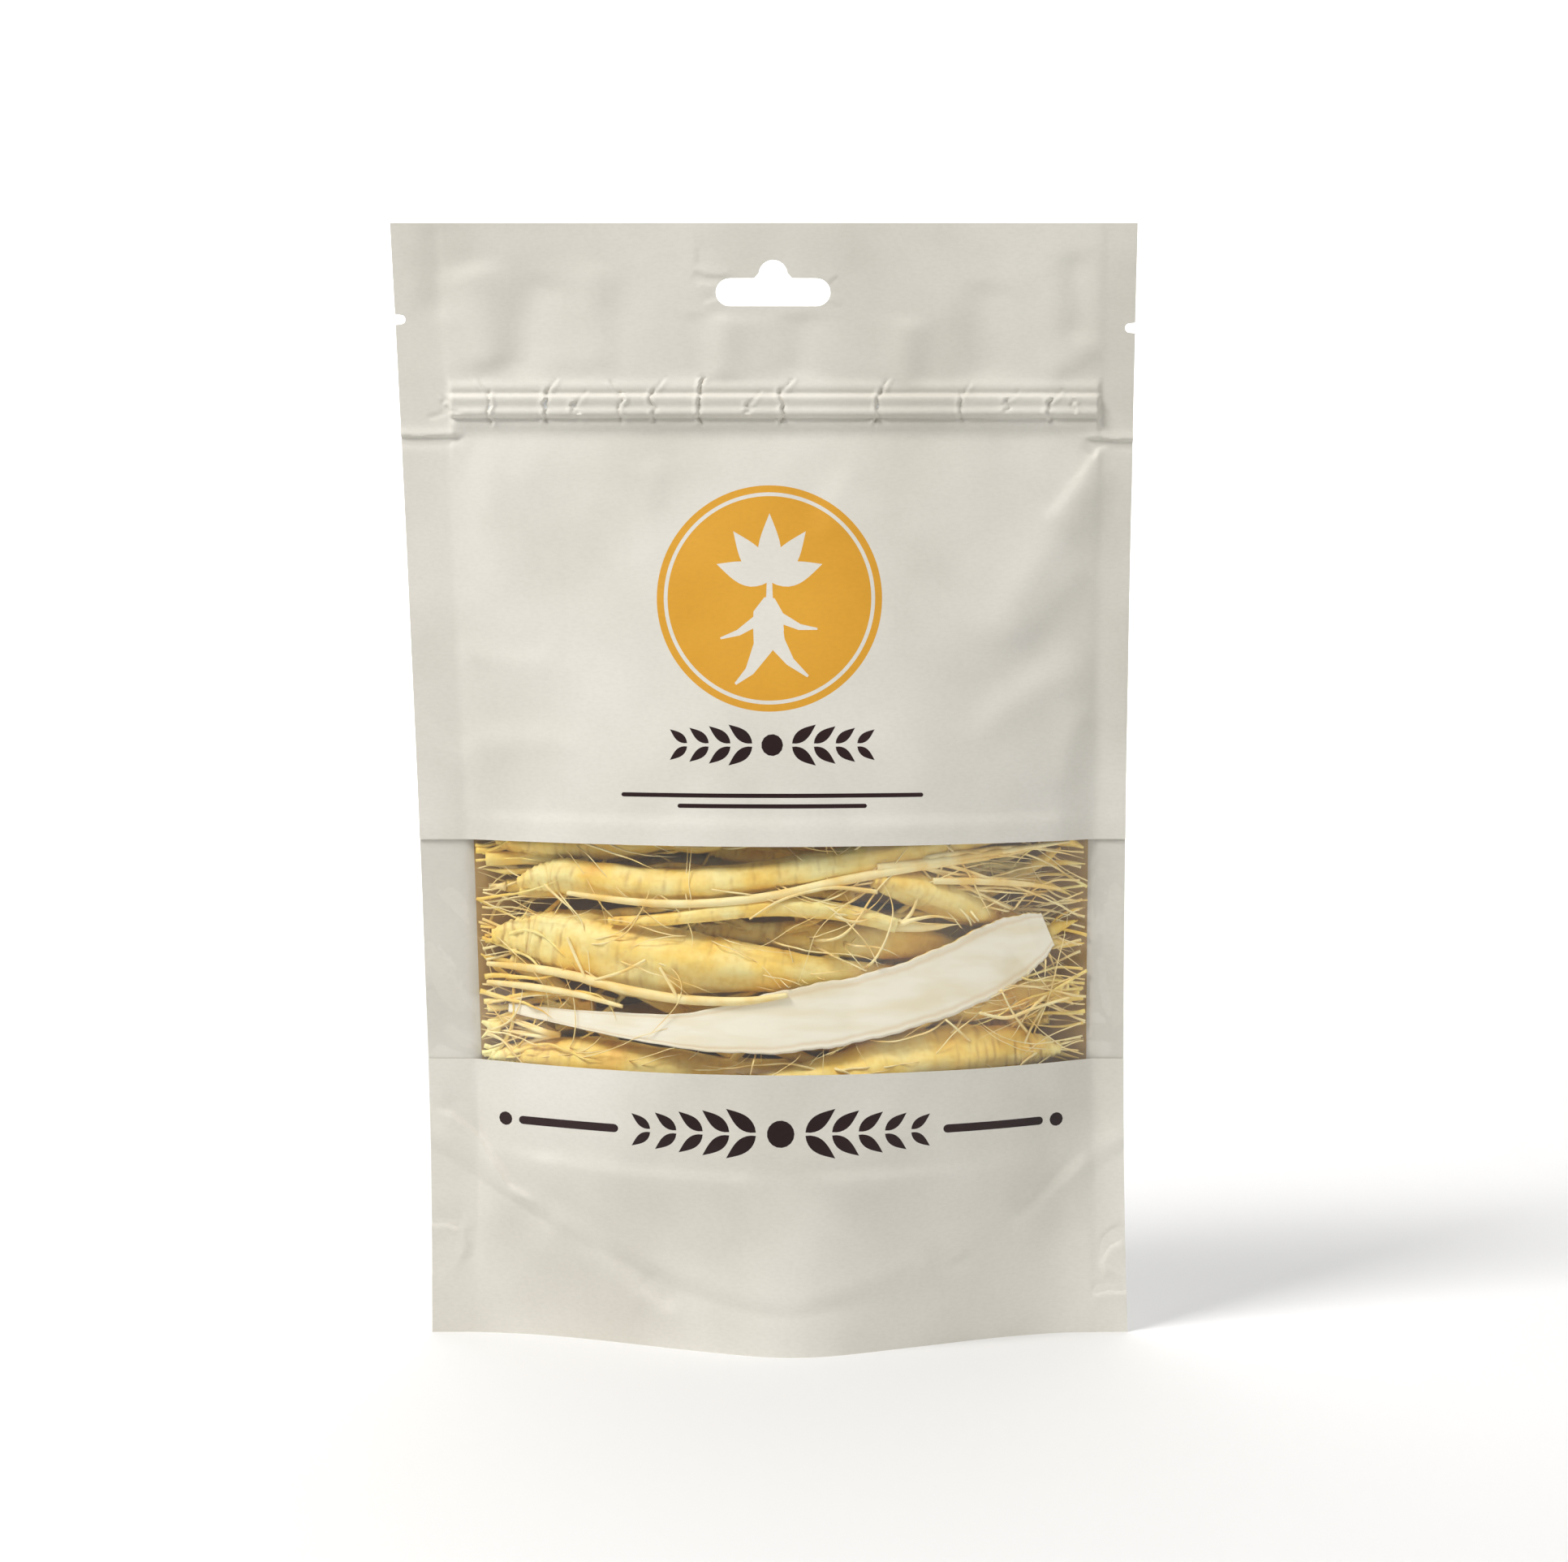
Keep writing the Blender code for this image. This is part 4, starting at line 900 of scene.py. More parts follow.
# Each root's stations are (x, z, radius) and, unless it is 0, the depth in from its wall: -1 front, 1 back,
# 0 middle. Limbs leave the main root between two shares of its length, at an angle round it in degrees, and
# spread by so many millimetres, with a girth. Fans are sprays of rootlets: where they start, their middle
# angle and spread, their reach, girth and number. Strands are laid along the window by (x, z, radius).
PLAIN_ROOT = {"wall": -1, "sliced": False, "rootlets": 10, "deep": 0, "limbs": [], "fans": [], "strands": []}
ROOTS = {
    "root_top_left": {"rootlets": 18, "stations": [(-58, 107.5, 1.4, 0.5), (-53, 107.6, 2.8, 1.5),
        (-46, 108, 4.8, 3.2), (-38, 108.8, 6.0, 3.6), (-28, 109.8, 6.0, 3.2), (-17, 111.8, 4.2, 2.5),
        (-6, 115.5, 2.6, 3), (4, 119.5, 1.3, 4)], "limbs": [(0.5, 0.94, 90, 3.0, 2.2)]},
    "root_top_right": {"rootlets": 14, "stations": [(-12, 106.5, 1.8, 7.5), (-7, 107.6, 3.8, 7.2),
        (1, 108.8, 5.8, 7.2), (14, 110.5, 6.2, 7.0), (28, 112.5, 5.2, 4.5), (42, 115, 3.6, 2), (54, 118, 2.0, 1),
        (60, 120, 1.1)], "limbs": [(0.52, 0.95, 95, 3.4, 2.4)]},
    "root_upper": {"rootlets": 24, "deep": 9, "stations": [(-53, 98.6, 1.1), (-48, 99.8, 2.6), (-42, 100.3, 3.8),
        (-26, 99.0, 3.9), (-12, 99.5, 3.6), (3, 101.6, 3.2), (15, 103.6, 3.2), (27, 105.6, 2.9), (40, 107.8, 2.3),
        (51, 109.6, 1.6), (60, 111, 0.9)], "limbs": [(0.6, 0.97, 70, 2.4, 1.8)],
        "fans": [(30, 104, 0.0, 0.22, 40, 0.7, 9)], "strands": [[(-42, 97.0, 0.5), (-27, 95.6, 0.8),
        (-13, 95.6, 0.9), (2, 97.3, 1.0), (16, 100.2, 1.1), (30, 102.6, 0.9), (48, 104.5, 0.5)], [(24, 103, 1.0),
        (40, 104.4, 0.9), (56, 106.4, 0.6), (66, 107.4, 0.3)]]},
    "root_thin": {"rootlets": 5, "stations": [(-33, 91.3, 0.8, 1.0), (-22, 91.9, 1.3), (-11, 93.5, 1.7),
        (1, 94.8, 1.9), (12, 94.3, 1.9), (21, 92.6, 1.8), (28, 90.6, 1.5)]},
    "root_right": {"rootlets": 22, "deep": 9, "stations": [(23, 100.2, 1.2), (27, 99.6, 2.7), (33, 98.0, 3.9),
        (39, 95.8, 4.2, 0.4), (45, 93.2, 3.7, 2.2), (51, 90.8, 2.6, 6.2), (56, 89.5, 1.3, 7.5)],
        "limbs": [(0.4, 0.9, 85, 2.4, 1.8)], "fans": [(40, 98, -0.05, 0.25, 30, 0.55, 7)],
        "strands": [[(24, 98, 0.5), (14, 99.0, 0.4), (4, 96.6, 0.3), (-3, 92.5, 0.2)], [(36, 100, 0.7),
        (46, 99.6, 0.8), (56, 98.6, 0.6), (64, 97.2, 0.3)]]},
    "root_large": {"rootlets": 26, "deep": 9, "stations": [(-59, 86.8, 1.5), (-54.5, 87, 3.4), (-49, 86.8, 5.6),
        (-40, 85.5, 7.4), (-26, 83.2, 7.3), (-14, 82.2, 6.2), (-5, 81.7, 5.2, 0.8), (5, 80.9, 4.1, 2.2),
        (16, 80.0, 3.0, 5.0), (27, 79.6, 2.0, 8.2), (37, 80.5, 1.1, 9.5)], "limbs": [(0.5, 0.92, 200, 3.0, 2.2)],
        "strands": [[(-42, 87.5, 0.35), (-40, 83, 0.35), (-37.6, 78.2, 0.28)], [(-25, 83.5, 0.3),
        (-30, 80.8, 0.35), (-36, 78.8, 0.3)], [(-22, 82, 0.3), (-19.5, 78, 0.4), (-17.8, 74.8, 0.3)]]},
    "root_inner": {"rootlets": 16, "deep": 9, "stations": [(-18, 88.5, 1.2, 10.5), (-8, 88.2, 2.4, 10),
        (4, 87.4, 3.4, 8.8), (16, 86.8, 3.9, 6.6), (27, 86.4, 3.7, 5.2), (36, 85.2, 3.0, 6.8),
        (44, 83.5, 1.6, 10)]},
    "root_slice": {"sliced": True, "rootlets": 0, "stations": [(-55, 71.5, 0.9, 0.2), (-36, 69.8, 2.2, 0.3),
        (-16, 68.5, 3.8, 0.4), (-2, 69.6, 6.0, 0.4), (10, 71.4, 6.9, 0.5), (20, 73.2, 6.9, 0.5),
        (31, 76.2, 7.1, 0.6), (41, 80.0, 7.4, 0.7), (50, 84.4, 7.2, 0.8), (57, 87.6, 5.8, 0.8),
        (61, 89.3, 4.0, 0.8)], "strands": [[(-60, 80.8, 0.5), (-50, 80.4, 0.9), (-40, 79.2, 1.0),
        (-31, 77.2, 1.05), (-18, 75.4, 1.05), (-5, 75.2, 0.9), (5, 76.6, 0.5)], [(-60, 76.8, 0.5),
        (-50, 76.4, 0.8), (-40, 75.4, 0.7), (-30, 73.4, 0.4)]]},
    "root_side_right": {"rootlets": 20, "deep": 9, "stations": [(66, 76, 1.2), (62, 75.6, 2.4, 0.5),
        (56, 74.4, 3.3, 2), (47, 72.5, 3.7, 4.5), (36, 70.6, 3.2, 8), (24, 68.6, 2.5, 9.8),
        (14, 67.4, 1.4, 10.5)]},
    "root_low_right": {"rootlets": 22, "deep": 9, "stations": [(64, 62.5, 1.4), (59, 62.6, 3.0), (52, 62.4, 5.2),
        (42, 61.8, 6.4), (30, 60.3, 6.6), (18, 58, 6.0), (6, 56, 5.0), (-6, 54, 3.8), (-20, 52, 2.4),
        (-32, 50.5, 1.2)], "limbs": [(0.5, 0.94, 250, 3.4, 2.2)], "strands": [[(66, 73.5, 0.3), (58, 71.8, 0.4),
        (52, 70.2, 0.4), (46, 71.6, 0.3)]]},
    "root_low_left": {"rootlets": 30, "deep": 9, "stations": [(-59, 60, 1.2), (-54, 60.6, 2.8), (-47, 60.6, 4.8),
        (-36, 60.0, 5.6, 0.5), (-22, 59.2, 4.7, 2.5), (-10, 58.8, 3.3, 7), (2, 59.2, 2.1, 9.5),
        (12, 60, 1.1, 10.5)], "limbs": [(0.45, 0.8, 230, 2.8, 2.0)], "fans": [(-44, 66, 3.05, 0.3, 19, 0.65, 8),
        (-46, 61, 3.2, 0.25, 15, 0.6, 6)]},
    "root_back_top": {"wall": 1, "stations": [(60, 98, 1.3), (54, 98.5, 2.6), (46, 99.3, 5.0), (34, 100, 7.0),
        (14, 100.5, 7.3), (-8, 100, 6.4), (-28, 99, 4.8), (-44, 98, 2.8), (-56, 97.5, 1.3)],
        "limbs": [(0.55, 0.96, 90, 3.6, 2.6), (0.62, 0.92, 270, 3.0, 1.8)]},
    "root_back_upper": {"wall": 1, "stations": [(60, 85.5, 1.3), (54, 85, 2.4), (46, 84.5, 4.6), (33, 84.5, 6.9),
        (12, 84.5, 6.9), (-8, 84.5, 5.4), (-24, 84.5, 3.6), (-36, 84.6, 1.9), (-45, 85, 0.9)],
        "limbs": [(0.55, 0.96, 90, 3.4, 2.6), (0.62, 0.92, 265, 2.8, 1.8)]},
    "root_back_middle": {"wall": 1, "stations": [(62, 68.5, 1.3), (56, 68, 2.6), (48, 67.3, 5.2), (34, 66.8, 8.0),
        (12, 66.5, 7.7), (-10, 66.5, 6.2), (-28, 66.5, 4.2), (-44, 66, 2.2), (-57, 65, 1.1)],
        "limbs": [(0.56, 0.96, 90, 3.2, 2.6), (0.62, 0.92, 270, 3.0, 1.8)]},
    "root_back_low": {"wall": 1, "stations": [(60, 53.5, 1.3), (54, 52.8, 2.2), (46, 52, 4.2), (32, 51.3, 6.8),
        (12, 51, 7.0), (-10, 50.5, 6.0), (-28, 51, 4.2), (-44, 52, 2.2), (-57, 53.5, 1.1)],
        "limbs": [(0.56, 0.96, 90, 3.0, 2.4), (0.62, 0.92, 270, 2.6, 1.6)]},
    "root_under_front": {"stations": [(-54, 42.5, 1.2), (-47, 40.5, 2.2), (-39, 38, 4.6), (-24, 34.5, 6.0),
        (-4, 33, 6.0), (16, 33.5, 5.2), (34, 36.5, 3.8), (47, 41, 2.2), (57, 45, 1.1)],
        "limbs": [(0.56, 0.94, 90, 2.6, 2.2)]},
    "root_under_back": {"wall": 1, "stations": [(56, 43.5, 1.2), (49, 41, 2.2), (40, 38.5, 4.6), (24, 36, 6.3),
        (4, 35, 6.3), (-16, 35.5, 5.4), (-32, 37.5, 3.8), (-45, 41, 2.2), (-54, 44.5, 1.1)],
        "limbs": [(0.56, 0.94, 90, 2.6, 2.2)]},
    "root_bottom": {"wall": 0, "stations": [(-36, 31, 1.4), (-30, 29, 2.8), (-20, 26, 4.6), (-4, 23, 5.2),
        (14, 23.5, 4.6), (28, 27, 3.2), (40, 32, 1.5)], "limbs": [(0.55, 0.94, 170, 2.2, 1.8)]},
}

# The sliced root's wide face, how deep rootlets pass behind it, and the sizes that all roots share
SLICE_FACE = ROOTS["root_slice"]["stations"][2:]
BEHIND_SLICE = 13.0
WALL_CLEARANCE = 0.9
SLICE_THICKNESS = 0.85
BURIED_START = 0.75
SLOPE_STEP = 0.5
TRUNK_SIDES = 40
LIMB_SIDES = 16
HAIR_SIDES = 6
TRUNK_PITCH = 0.7
LIMB_STEPS = 90
END_ROOTLETS = 14


def wall_normal(x, z):
    """Direction into the pouch, square to the front wall."""
    run = 2 * SLOPE_STEP
    ahead = (bow(x + SLOPE_STEP, z) - bow(x - SLOPE_STEP, z)) / run
    up = (bow(x, z + SLOPE_STEP) - bow(x, z - SLOPE_STEP)) / run
    return Vector((float(ahead), 1.0, float(up))).normalized()


def station_point(wall, x, z, radius, depth=0):
    room = float(bow(x, z)) - (radius + WALL_CLEARANCE + depth) / wall_normal(x, z).y
    return (x, wall * max(room, 0.0), z, radius)


def spline(knots, share):
    """A smooth curve through the knots, read at a share of its length in knots."""
    spans = len(knots) - 1
    at = min(max(share, 0.0), 1.0) * spans
    i = min(int(at), spans - 1)
    t = at - i
    a, b = knots[max(i - 1, 0)], knots[i]
    c, d = knots[i + 1], knots[min(i + 2, spans)]
    return [
        0.5 * (2 * b[k] + (c[k] - a[k]) * t + (2 * a[k] - 5 * b[k] + 4 * c[k] - d[k]) * t**2
               + (3 * b[k] - a[k] - 3 * c[k] + d[k]) * t**3)
        for k in range(len(b))
    ]


def limb_line(knots, start, end, angle, spread, girth, count=24):
    """A side root: it leaves the main root inside its flesh and spreads away from it."""
    line = []
    for i in range(count):
        t = i / (count - 1)
        share = start + (end - start) * t
        ahead = Vector(spline(knots, share + 0.01)[:3]) - Vector(spline(knots, share - 0.01)[:3])
        side = ahead.cross(Vector((0, 0, 1))).normalized()
        up = side.cross(ahead.normalized())
        away = math.cos(math.radians(angle)) * side + math.sin(math.radians(angle)) * up
        place = Vector(spline(knots, share)[:3]) + away * spread * (t * t * (3 - 2 * t))
        line.append((*place, girth * (1 - BURIED_START * t)))
    return line


class Shape:
    """Points, faces, groove values and face kinds of one piece, gathered strand by strand."""

    def __init__(self):
        self.points, self.faces, self.grooves, self.kinds = [], [], [], []

    def add(self, rings, grooves, kind, kinds=()):
        """A closed strand from rings of points, with a point at each end."""
        start, sides, count = len(self.points), len(rings[0]), len(rings)
        for ring, marks in zip(rings, grooves):
            self.points += ring
            self.grooves += marks
        for i in range(start, start + (count - 1) * sides, sides):
            for k in range(sides):
                a, b = i + k, i + (k + 1) % sides
                self.faces.append((a, b, b + sides, a + sides))
            self.kinds += kinds or [kind] * sides
        for end in (0, count - 1):
            tip = len(self.points)
            self.points.append(sum(rings[end], Vector()) / sides)
            self.grooves.append(0.3)
            for k in range(sides):
                a, b = start + end * sides + k, start + end * sides + (k + 1) % sides
                self.faces.append((a, b, tip) if end else (b, a, tip))
            self.kinds += [kind] * sides

    def strand(self, line, sides, kind=2):
        """A plain round strand along a line of points with radii."""
        turns = np.arange(sides) * 2 * math.pi / sides
        rings = [[centre + (side * math.cos(t) + up * math.sin(t)) * radius for t in turns]
                 for centre, radius, _, side, up in along_line(line, (0.1, 0, 1))]
        self.add(rings, [[0.0] * sides] * len(rings), kind)

    def build(self, name, looks):
        mesh = bpy.data.meshes.new(name)
        mesh.from_pydata([tuple(p * MM) for p in self.points], [], self.faces)
        for look in looks:
            mesh.materials.append(look)
        mesh.polygons.foreach_set("material_index", self.kinds)
        mesh.attributes.new("groove", "FLOAT", "POINT").data.foreach_set("value", self.grooves)
        mesh.shade_smooth()
        return linked(name, mesh)


def along_line(line, upright=(0, 0, 1)):
    """Each point of a line with its radius, the way ahead, and two ways across."""
    centres = [Vector(p[:3]) for p in line]
    for i, centre in enumerate(centres):
        ahead = (centres[min(i + 1, len(centres) - 1)] - centres[max(i - 1, 0)]).normalized()
        side = ahead.cross(Vector(upright)).normalized()
        yield centre, line[i][3], ahead, side, side.cross(ahead)


def skin_rings(line, sides, draw, ring_gap, relief, neck=0.0):
    """Rings of a root's round skin, with its cross grooves, lengthwise wrinkles and knobbly neck."""
    centres = [Vector(p[:3]) for p in line]
    runs = np.concatenate([[0], np.cumsum([(b - a).length for a, b in zip(centres, centres[1:])])])
    total = runs[-1]
    gaps = draw.uniform(0.5, 1.7, int(2 * total / ring_gap) + 2) * ring_gap
    places = np.cumsum(gaps * np.linspace(0.45, 2.2, len(gaps)))
    places = places[places < total]
    depths = draw.uniform(0.3, 1.0, len(places)) * (0.3 + 0.7 * np.exp(-places / total / 0.3))
    starts, spans = draw.uniform(0, 2 * math.pi, len(places)), draw.uniform(1.2, 5.0, len(places))
    lobes = [(draw.integers(2, 6), draw.uniform(0, 6.28), draw.uniform(0.02, 0.05)) for _ in range(4)]
    bend_start = draw.uniform(-3, 3)
    turns = np.arange(sides) * 2 * math.pi / sides
    rings, marks = [], []
    for run, (centre, radius, _, side, up) in zip(runs, along_line(line)):
        share = run / total
        groove = np.zeros(sides)
        for place, depth, begin, span in zip(places, depths, starts, spans):
            if abs(place - run) > 2.5:
                continue
            bend = 0.5 * np.sin(turns + begin) + 0.2 * np.sin(3 * turns + begin)
            around = smooth((span / 2 - np.abs((turns - begin + math.pi) % (2 * math.pi) - math.pi)) / 0.6 + 0.5)
            groove = np.maximum(groove, depth * bell(run - place - bend, 0.36) * around)
        swell = sum(size * np.sin(n * turns + phase + run / 16) for n, phase, size in lobes)
        wrinkle = 0.012 * np.sin(turns * 13 + run / 4) + 0.010 * np.sin(turns * 7 - run / 2.5)
        knob = neck * math.exp(-share / 0.07) * 0.22 * np.sin(2 * turns + run * 1.9) * np.sin(run * 2.6)
        slow = 0.03 * math.sin(run / 3.1) + 0.02 * math.sin(run / 1.7 + 1)
        full = radius * (1 + swell + wrinkle * smooth(radius / 2) + knob + slow)
        full = np.minimum(full, radius + 0.45) - relief * groove * min(1.0, radius / 4)
        middle = centre + up * (0.15 * radius * math.sin(share * 9 + bend_start) * (1 - neck))
        rings.append([middle + (side * math.cos(t) + up * math.sin(t)) * r for t, r in zip(turns, full)])
        marks.append(groove.tolist())
    return rings, marks


def sliced_rings(line, sides):
    """Rings of a root cut lengthwise: round skin behind, then a flat face to the front wall."""
    turns = np.linspace(0, math.pi, sides // 2 + 1)
    shares = np.linspace(-1, 1, sides // 2 + 1)[1:-1]
    edge = 0.4 * bell(np.abs(shares) - 0.80, 0.05) + 0.85 * smooth((np.abs(shares) - 0.92) / 0.05)
    rings = []
    for i, (centre, radius, ahead, *_) in enumerate(along_line(line)):
        inward = wall_normal(centre.x, centre.z)
        inward = (inward - ahead * inward.dot(ahead)).normalized()
        side = inward.cross(ahead)
        flat = centre - inward * radius
        reach = radius * (1 + 0.02 * math.sin(i * 0.35) + 0.012 * math.sin(i * 1.1 + 2))
        back = [flat + (side * math.cos(t) + inward * SLICE_THICKNESS * math.sin(t)) * reach for t in turns]
        rows = 0.10 * np.sin(i * 0.9 + shares * 4) * np.cos(shares * 1.5) + 0.08 * np.cos(shares * 14)
        rings.append(back + [flat + side * s * reach + inward * (0.18 + 0.12 * r) for s, r in zip(shares, rows)])
    marks = [0.25] * len(turns) + edge.tolist()
    kinds = [0] * (sides // 2) + [1] * (len(marks) - sides // 2)
    return rings, [marks] * len(rings), kinds


def under_slice(x, z):
    """1 where the sliced root's flat face covers what lies behind it, and 0 away from it."""
    near = 0.0
    for (ax, az, ar, _), (bx, bz, br, _) in zip(SLICE_FACE, SLICE_FACE[1:]):
        t = clamp(((x - ax) * (bx - ax) + (z - az) * (bz - az)) / math.dist((ax, az), (bx, bz)) ** 2)
        far = math.hypot(x - ax - t * (bx - ax), z - az - t * (bz - az))
        near = max(near, smooth((ar + t * (br - ar) + 0.8 - far) / 1.4))
    return near


def rootlet_line(start, angle, length, girth, draw, wall_side, sink, spread=0.03, least=0.0):
    """A thin root that wanders off in the plane of the wall and stays close behind it."""
    steps = max(8, int(length / 0.9))
    x, y, z = start
    turn, line = draw.normal(0, spread * 1.5), []
    deep = float(bow(x, z)) - abs(y)
    rest = least + draw.uniform(0, 1) ** 2 * (sink - least)
    limit = 0.985 - 0.10 * draw.uniform(0, 1) ** 2
    for i in range(steps + 1):
        t = i / steps
        radius = girth * (1 - 0.82 * t)
        settle = smooth(t * 4)
        gap = deep * (1 - settle) + rest * settle + 0.5 * (1 + math.sin(6 * t + x)) * settle * sink * 0.15
        if wall_side < 0:
            gap = max(gap, BEHIND_SLICE * float(under_slice(x, z)))
        out = max(float(bow(x, z)) - 0.32 - radius - gap, 0.0)
        line.append((x, wall_side * out, z, radius))
        turn = turn * 0.85 + draw.normal(0, spread)
        angle += turn * length / steps
        x += math.cos(angle) * length / steps
        z += math.sin(angle) * length / steps
        if abs(float(across(x, z))) > limit or z < float(base_fold(x)) + 3:
            break
    return [(*point[:3], point[3] * min(1.0, (len(line) - i) / 6)) for i, point in enumerate(line)]


def strand_line(knots):
    """A thin root laid along given points just behind the window."""
    count = 12 * (len(knots) - 1)
    points = [spline(knots, i / count) for i in range(count + 1)]
    return [(x, 0.4 + radius - float(bow(x, z)), z, radius) for x, z, radius in points]


def build_root(name, plan, seed, looks):
    """A root with its limbs, tails, rootlets, deep strands and whatever else its plan has."""
    plan = {**PLAIN_ROOT, **plan}
    draw = np.random.default_rng(seed)
    side = plan["wall"] or -1
    knots = [station_point(plan["wall"], *station) for station in plan["stations"]]
    count = int(sum(math.dist(a[:3], b[:3]) for a, b in zip(knots, knots[1:])) / TRUNK_PITCH)
    line = [spline(knots, i / count) for i in range(count + 1)]
    heading = 0.0 if knots[-1][0] > knots[0][0] else math.pi
    shape = Shape()

    def rootlet(start, angle, length, girth, sink, spread=0.03, least=0.0, sides=HAIR_SIDES, kind=2):
        shape.strand(rootlet_line(start, angle, length, girth, draw, side, sink, spread, least), sides, kind)

    def under_wall(x, z, depth):
        return (x, side * max(float(bow(x, z)) - depth, 0.0), z)

    tails = [(line[-1], heading, draw.uniform(10, 22))]
    if plan["sliced"]:
        rings, marks, kinds = sliced_rings(line, TRUNK_SIDES)
        shape.add(rings, marks, 1, kinds)
        tails = []
    else:
        shape.add(*skin_rings(line, TRUNK_SIDES, draw, 2.4, 0.42, 1.0), 0)
    for limb in plan["limbs"]:
        branch = limb_line(knots, *limb)
        fine = [spline(branch, i / LIMB_STEPS) for i in range(LIMB_STEPS + 1)]
        shape.add(*skin_rings(fine, LIMB_SIDES, draw, 3.4, 0.2), 0)
        tails.append((fine[-1], heading + draw.uniform(-0.3, 0.3), draw.uniform(12, 30)))
    for (x, y, z, radius), angle, reach in tails:
        rootlet((x, y, z), angle, reach, radius, 2.5, 0.02, sides=8)
        for _ in range(3):
            rootlet((x, y, z), angle + draw.uniform(-0.6, 0.6), reach * draw.uniform(0.5, 1.2), radius * 0.4,
                    3.0, 0.04)
    for _ in range(plan["rootlets"]):
        share = draw.uniform(0, 1) ** 0.8 if draw.uniform() < 0.7 else draw.uniform(0.02, 0.12)
        x, y, z, _ = spline(knots, share)
        angle = heading + draw.normal(0, 0.5) + (math.pi if share < 0.12 and draw.uniform() < 0.7 else 0)
        girth = 0.14 + 0.34 * draw.uniform() ** 2
        rootlet((x, y, z), angle, draw.uniform(9, 36), girth, 4.0)
    for _ in range(plan["deep"]):
        x = draw.uniform(-62, 62)
        start = (*under_wall(x, z, 9)[:2], draw.uniform(WINDOW_LOW - 3, WINDOW_HIGH + 3))
        rootlet(start, heading + draw.normal(0, 0.3), draw.uniform(35, 80), draw.uniform(0.6, 2.0), 13.0, 0.015, 7.0,
                8, 0)
    for way in (-1, 1) if plan["deep"] else ():  # rootlets from the chamber's ends inwards
        for _ in range(END_ROOTLETS):
            z = draw.uniform(WINDOW_LOW - 2, WINDOW_HIGH + 2)
            x = float(chamber_x(z, way * draw.uniform(0.955, 0.985)))
            girth = draw.uniform(0.12, 0.42) * (1.9 if draw.uniform() < 0.25 else 1.0)
            angle = (0.0 if way < 0 else math.pi) + draw.normal(0, 0.25)
            rootlet(under_wall(x, z, 0.4 + girth), angle, draw.uniform(12, 34), girth, 5.0, 0.035,
                    kind=0 if girth > 0.35 else 2)
    for points in plan["strands"]:
        shape.strand(strand_line(points), 8)
    for x, z, angle, spread, reach, girth, many in plan["fans"]:
        for turn in np.linspace(-spread, spread, many):
            rootlet(under_wall(x, z, 3), angle + turn + draw.normal(0, 0.05), reach * draw.uniform(0.7, 1.1),
                    girth * draw.uniform(0.5, 1.2), 5.0, 0.012)
    dress(shape.build(name + "_skin", looks), "root_flesh" if plan["sliced"] else "root_skin", name)


# Stage, light and camera

def area_light(name, place, target, size, power, colour=(1, 1, 1)):
    data = bpy.data.lights.new(name, "AREA")
    data.shape = "RECTANGLE"
    data.size, data.size_y = size
    data.energy = power
    data.color = colour
    aim(linked(name, data), place, target)


def aim(made, place, target):
    made.location = place
    made.rotation_euler = (Vector(target) - Vector(place)).to_track_quat("-Z", "Y").to_euler()


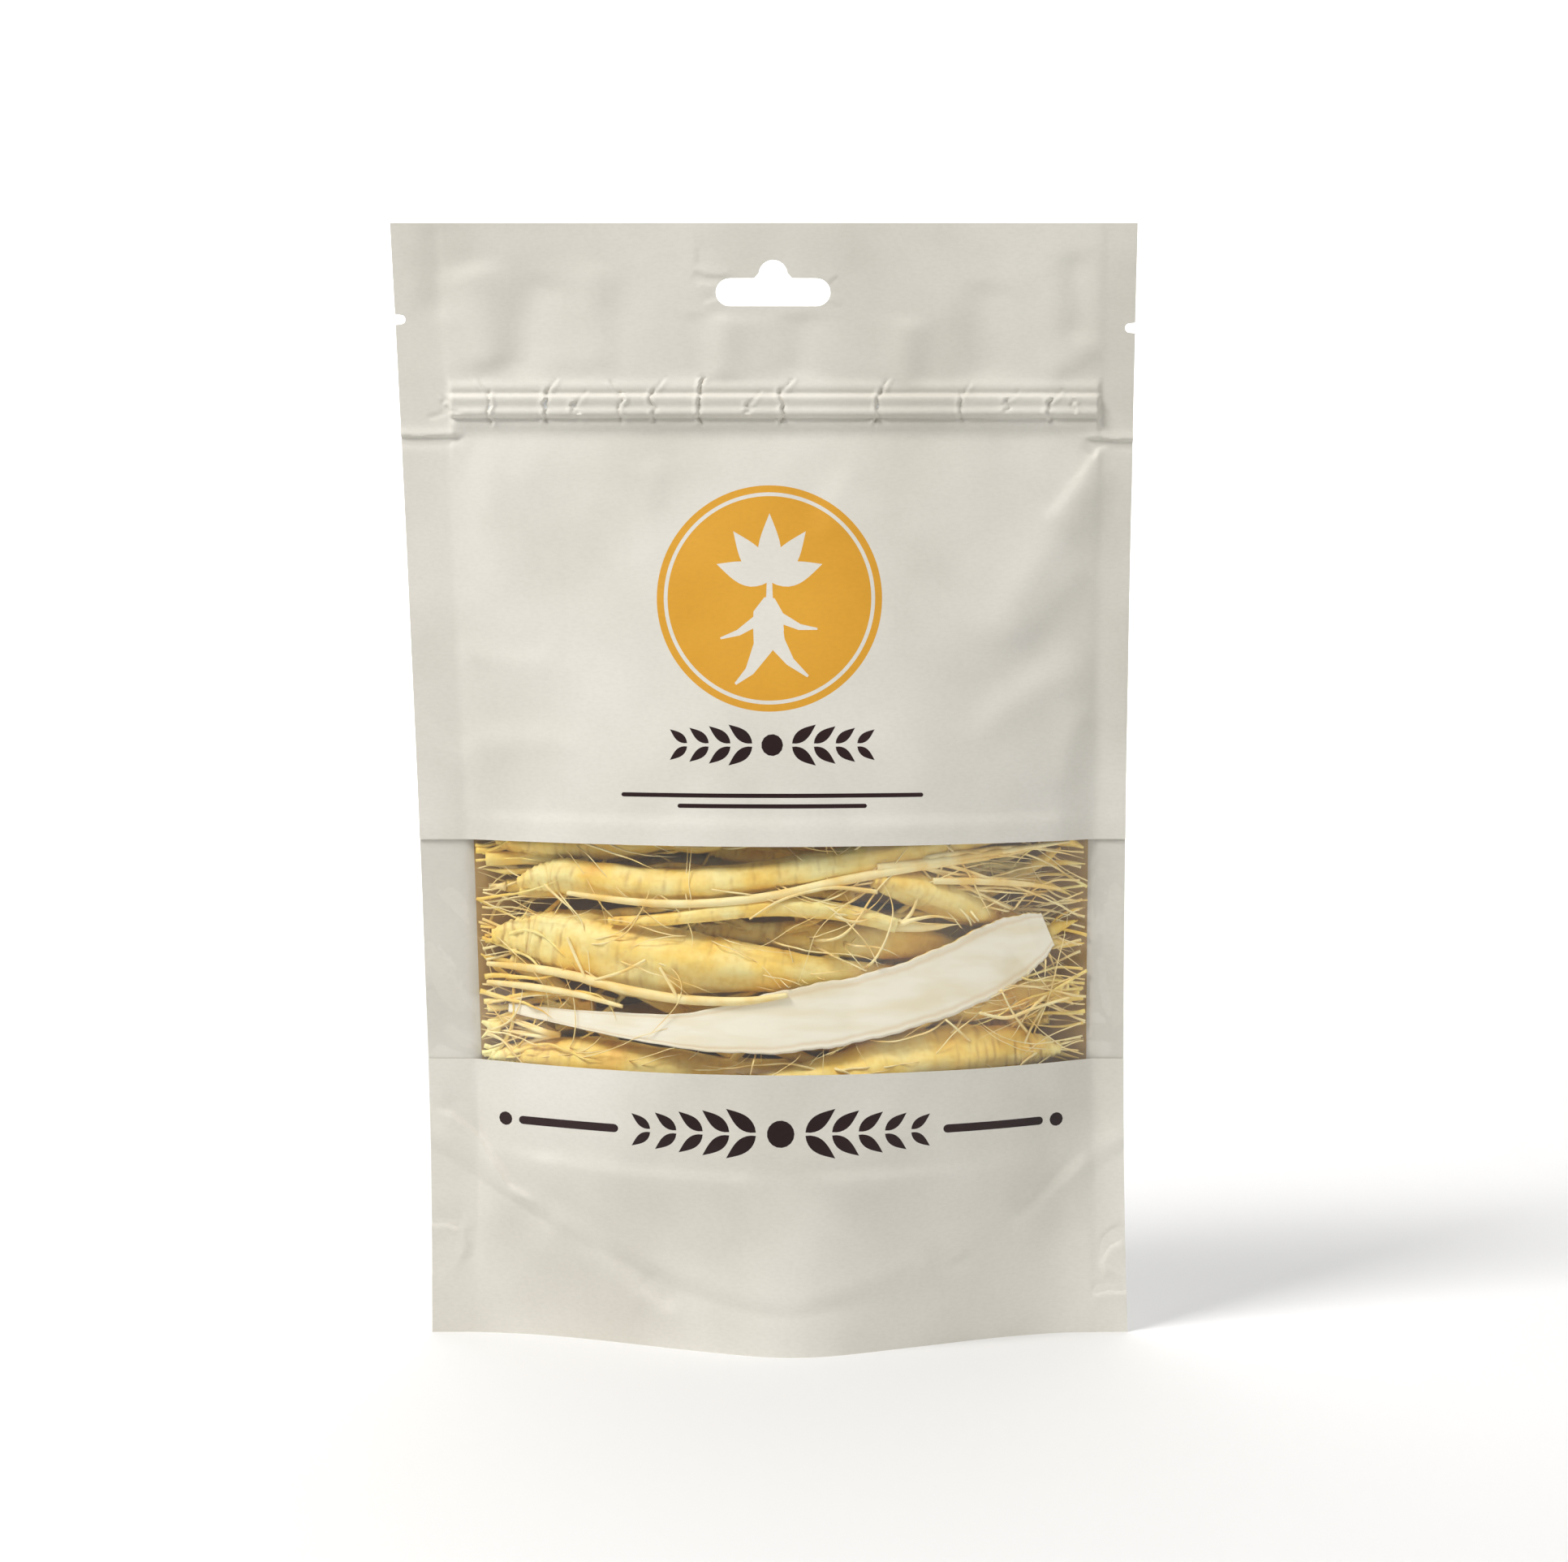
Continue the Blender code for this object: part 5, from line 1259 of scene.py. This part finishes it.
def studio():
    """A white sweep, from a level floor up into a backdrop, and soft lights."""
    profile = [(-0.28, 0.0), (1.2, 0.0)]
    profile += [(1.2 + 0.8 * math.sin(a), 0.8 - 0.8 * math.cos(a)) for a in np.radians(np.linspace(0, 90, 13))[1:]]
    profile.append((2.0, 3.5))
    rows = [[(x, y, z) for y, z in profile] for x in (-3.5, 3.5)]
    count = len(profile)
    mesh = bpy.data.meshes.new("sweep")
    mesh.from_pydata(rows[0] + rows[1], [], [(i, i + 1, count + i + 1, count + i) for i in range(count - 1)])
    mesh.shade_smooth()
    mesh.materials.append(Look("sweep_white", (0.80, 0.80, 0.80), 0.9).material)
    sweep = linked("sweep", mesh)
    world = bpy.data.worlds.new("studio")
    bpy.context.scene.world = world
    world.use_nodes = True
    background = world.node_tree.nodes["Background"]
    background.inputs["Color"].default_value = (1, 1, 1, 1)
    background.inputs["Strength"].default_value = 0.32
    area_light("key", (-0.66, -0.52, 1.16), (0, 0, 0.12), (0.45, 0.45), 15.5, (1.0, 0.985, 0.965))
    area_light("fill", (1.2, -1.0, 0.8), (0, 0, 0.12), (2.0, 2.0), 7.0, (1.0, 0.98, 0.955))
    area_light("floor", (0.0, 0.95, 1.0), (0, 0.95, 0), (3.0, 0.9), 11)
    area_light("backdrop", (0.0, 0.9, 1.2), (0, 2.0, 0.7), (2.4, 0.6), 38)


def camera():
    data = bpy.data.cameras.new("camera")
    data.lens = CAMERA_LENS
    rise = math.radians(CAMERA_ELEVATION)
    target = Vector(CAMERA_TARGET) * MM
    place = target + Vector((0, -math.cos(rise), math.sin(rise))) * CAMERA_DISTANCE * MM
    bpy.context.scene.camera = linked("camera", data)
    aim(bpy.context.scene.camera, place, target)


def main():
    camera()
    studio()
    paper, ochre = paper_material("paper", *PAPER), paper_material("ochre_ink", *OCHRE, 0.5)
    # The second look here is painted shade for the back wall's inside
    dark, gap_shade_look = paper_material("dark_ink", *DARK, 0.45), paper_material("painted_gap_shade", *GAP_SHADE_TONES, 0.7)
    front_upper(paper, ochre, dark)
    front_lower(paper, dark)
    back_wall(paper, gap_shade_look)
    base_gusset(paper)
    window_film(film_material())
    looks = skin_material(), flesh_material(), rootlet_material()
    for seed, (name, plan) in enumerate(ROOTS.items(), 100):
        build_root(name, plan, seed, looks)
    plastic = zip_material()
    for node in ("zip_groove_strip", "zip_rib_strip"):
        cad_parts[node].data.materials.clear()
        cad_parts[node].data.materials.append(plastic)
    bpy.context.scene.view_settings.view_transform = "Standard"


main()
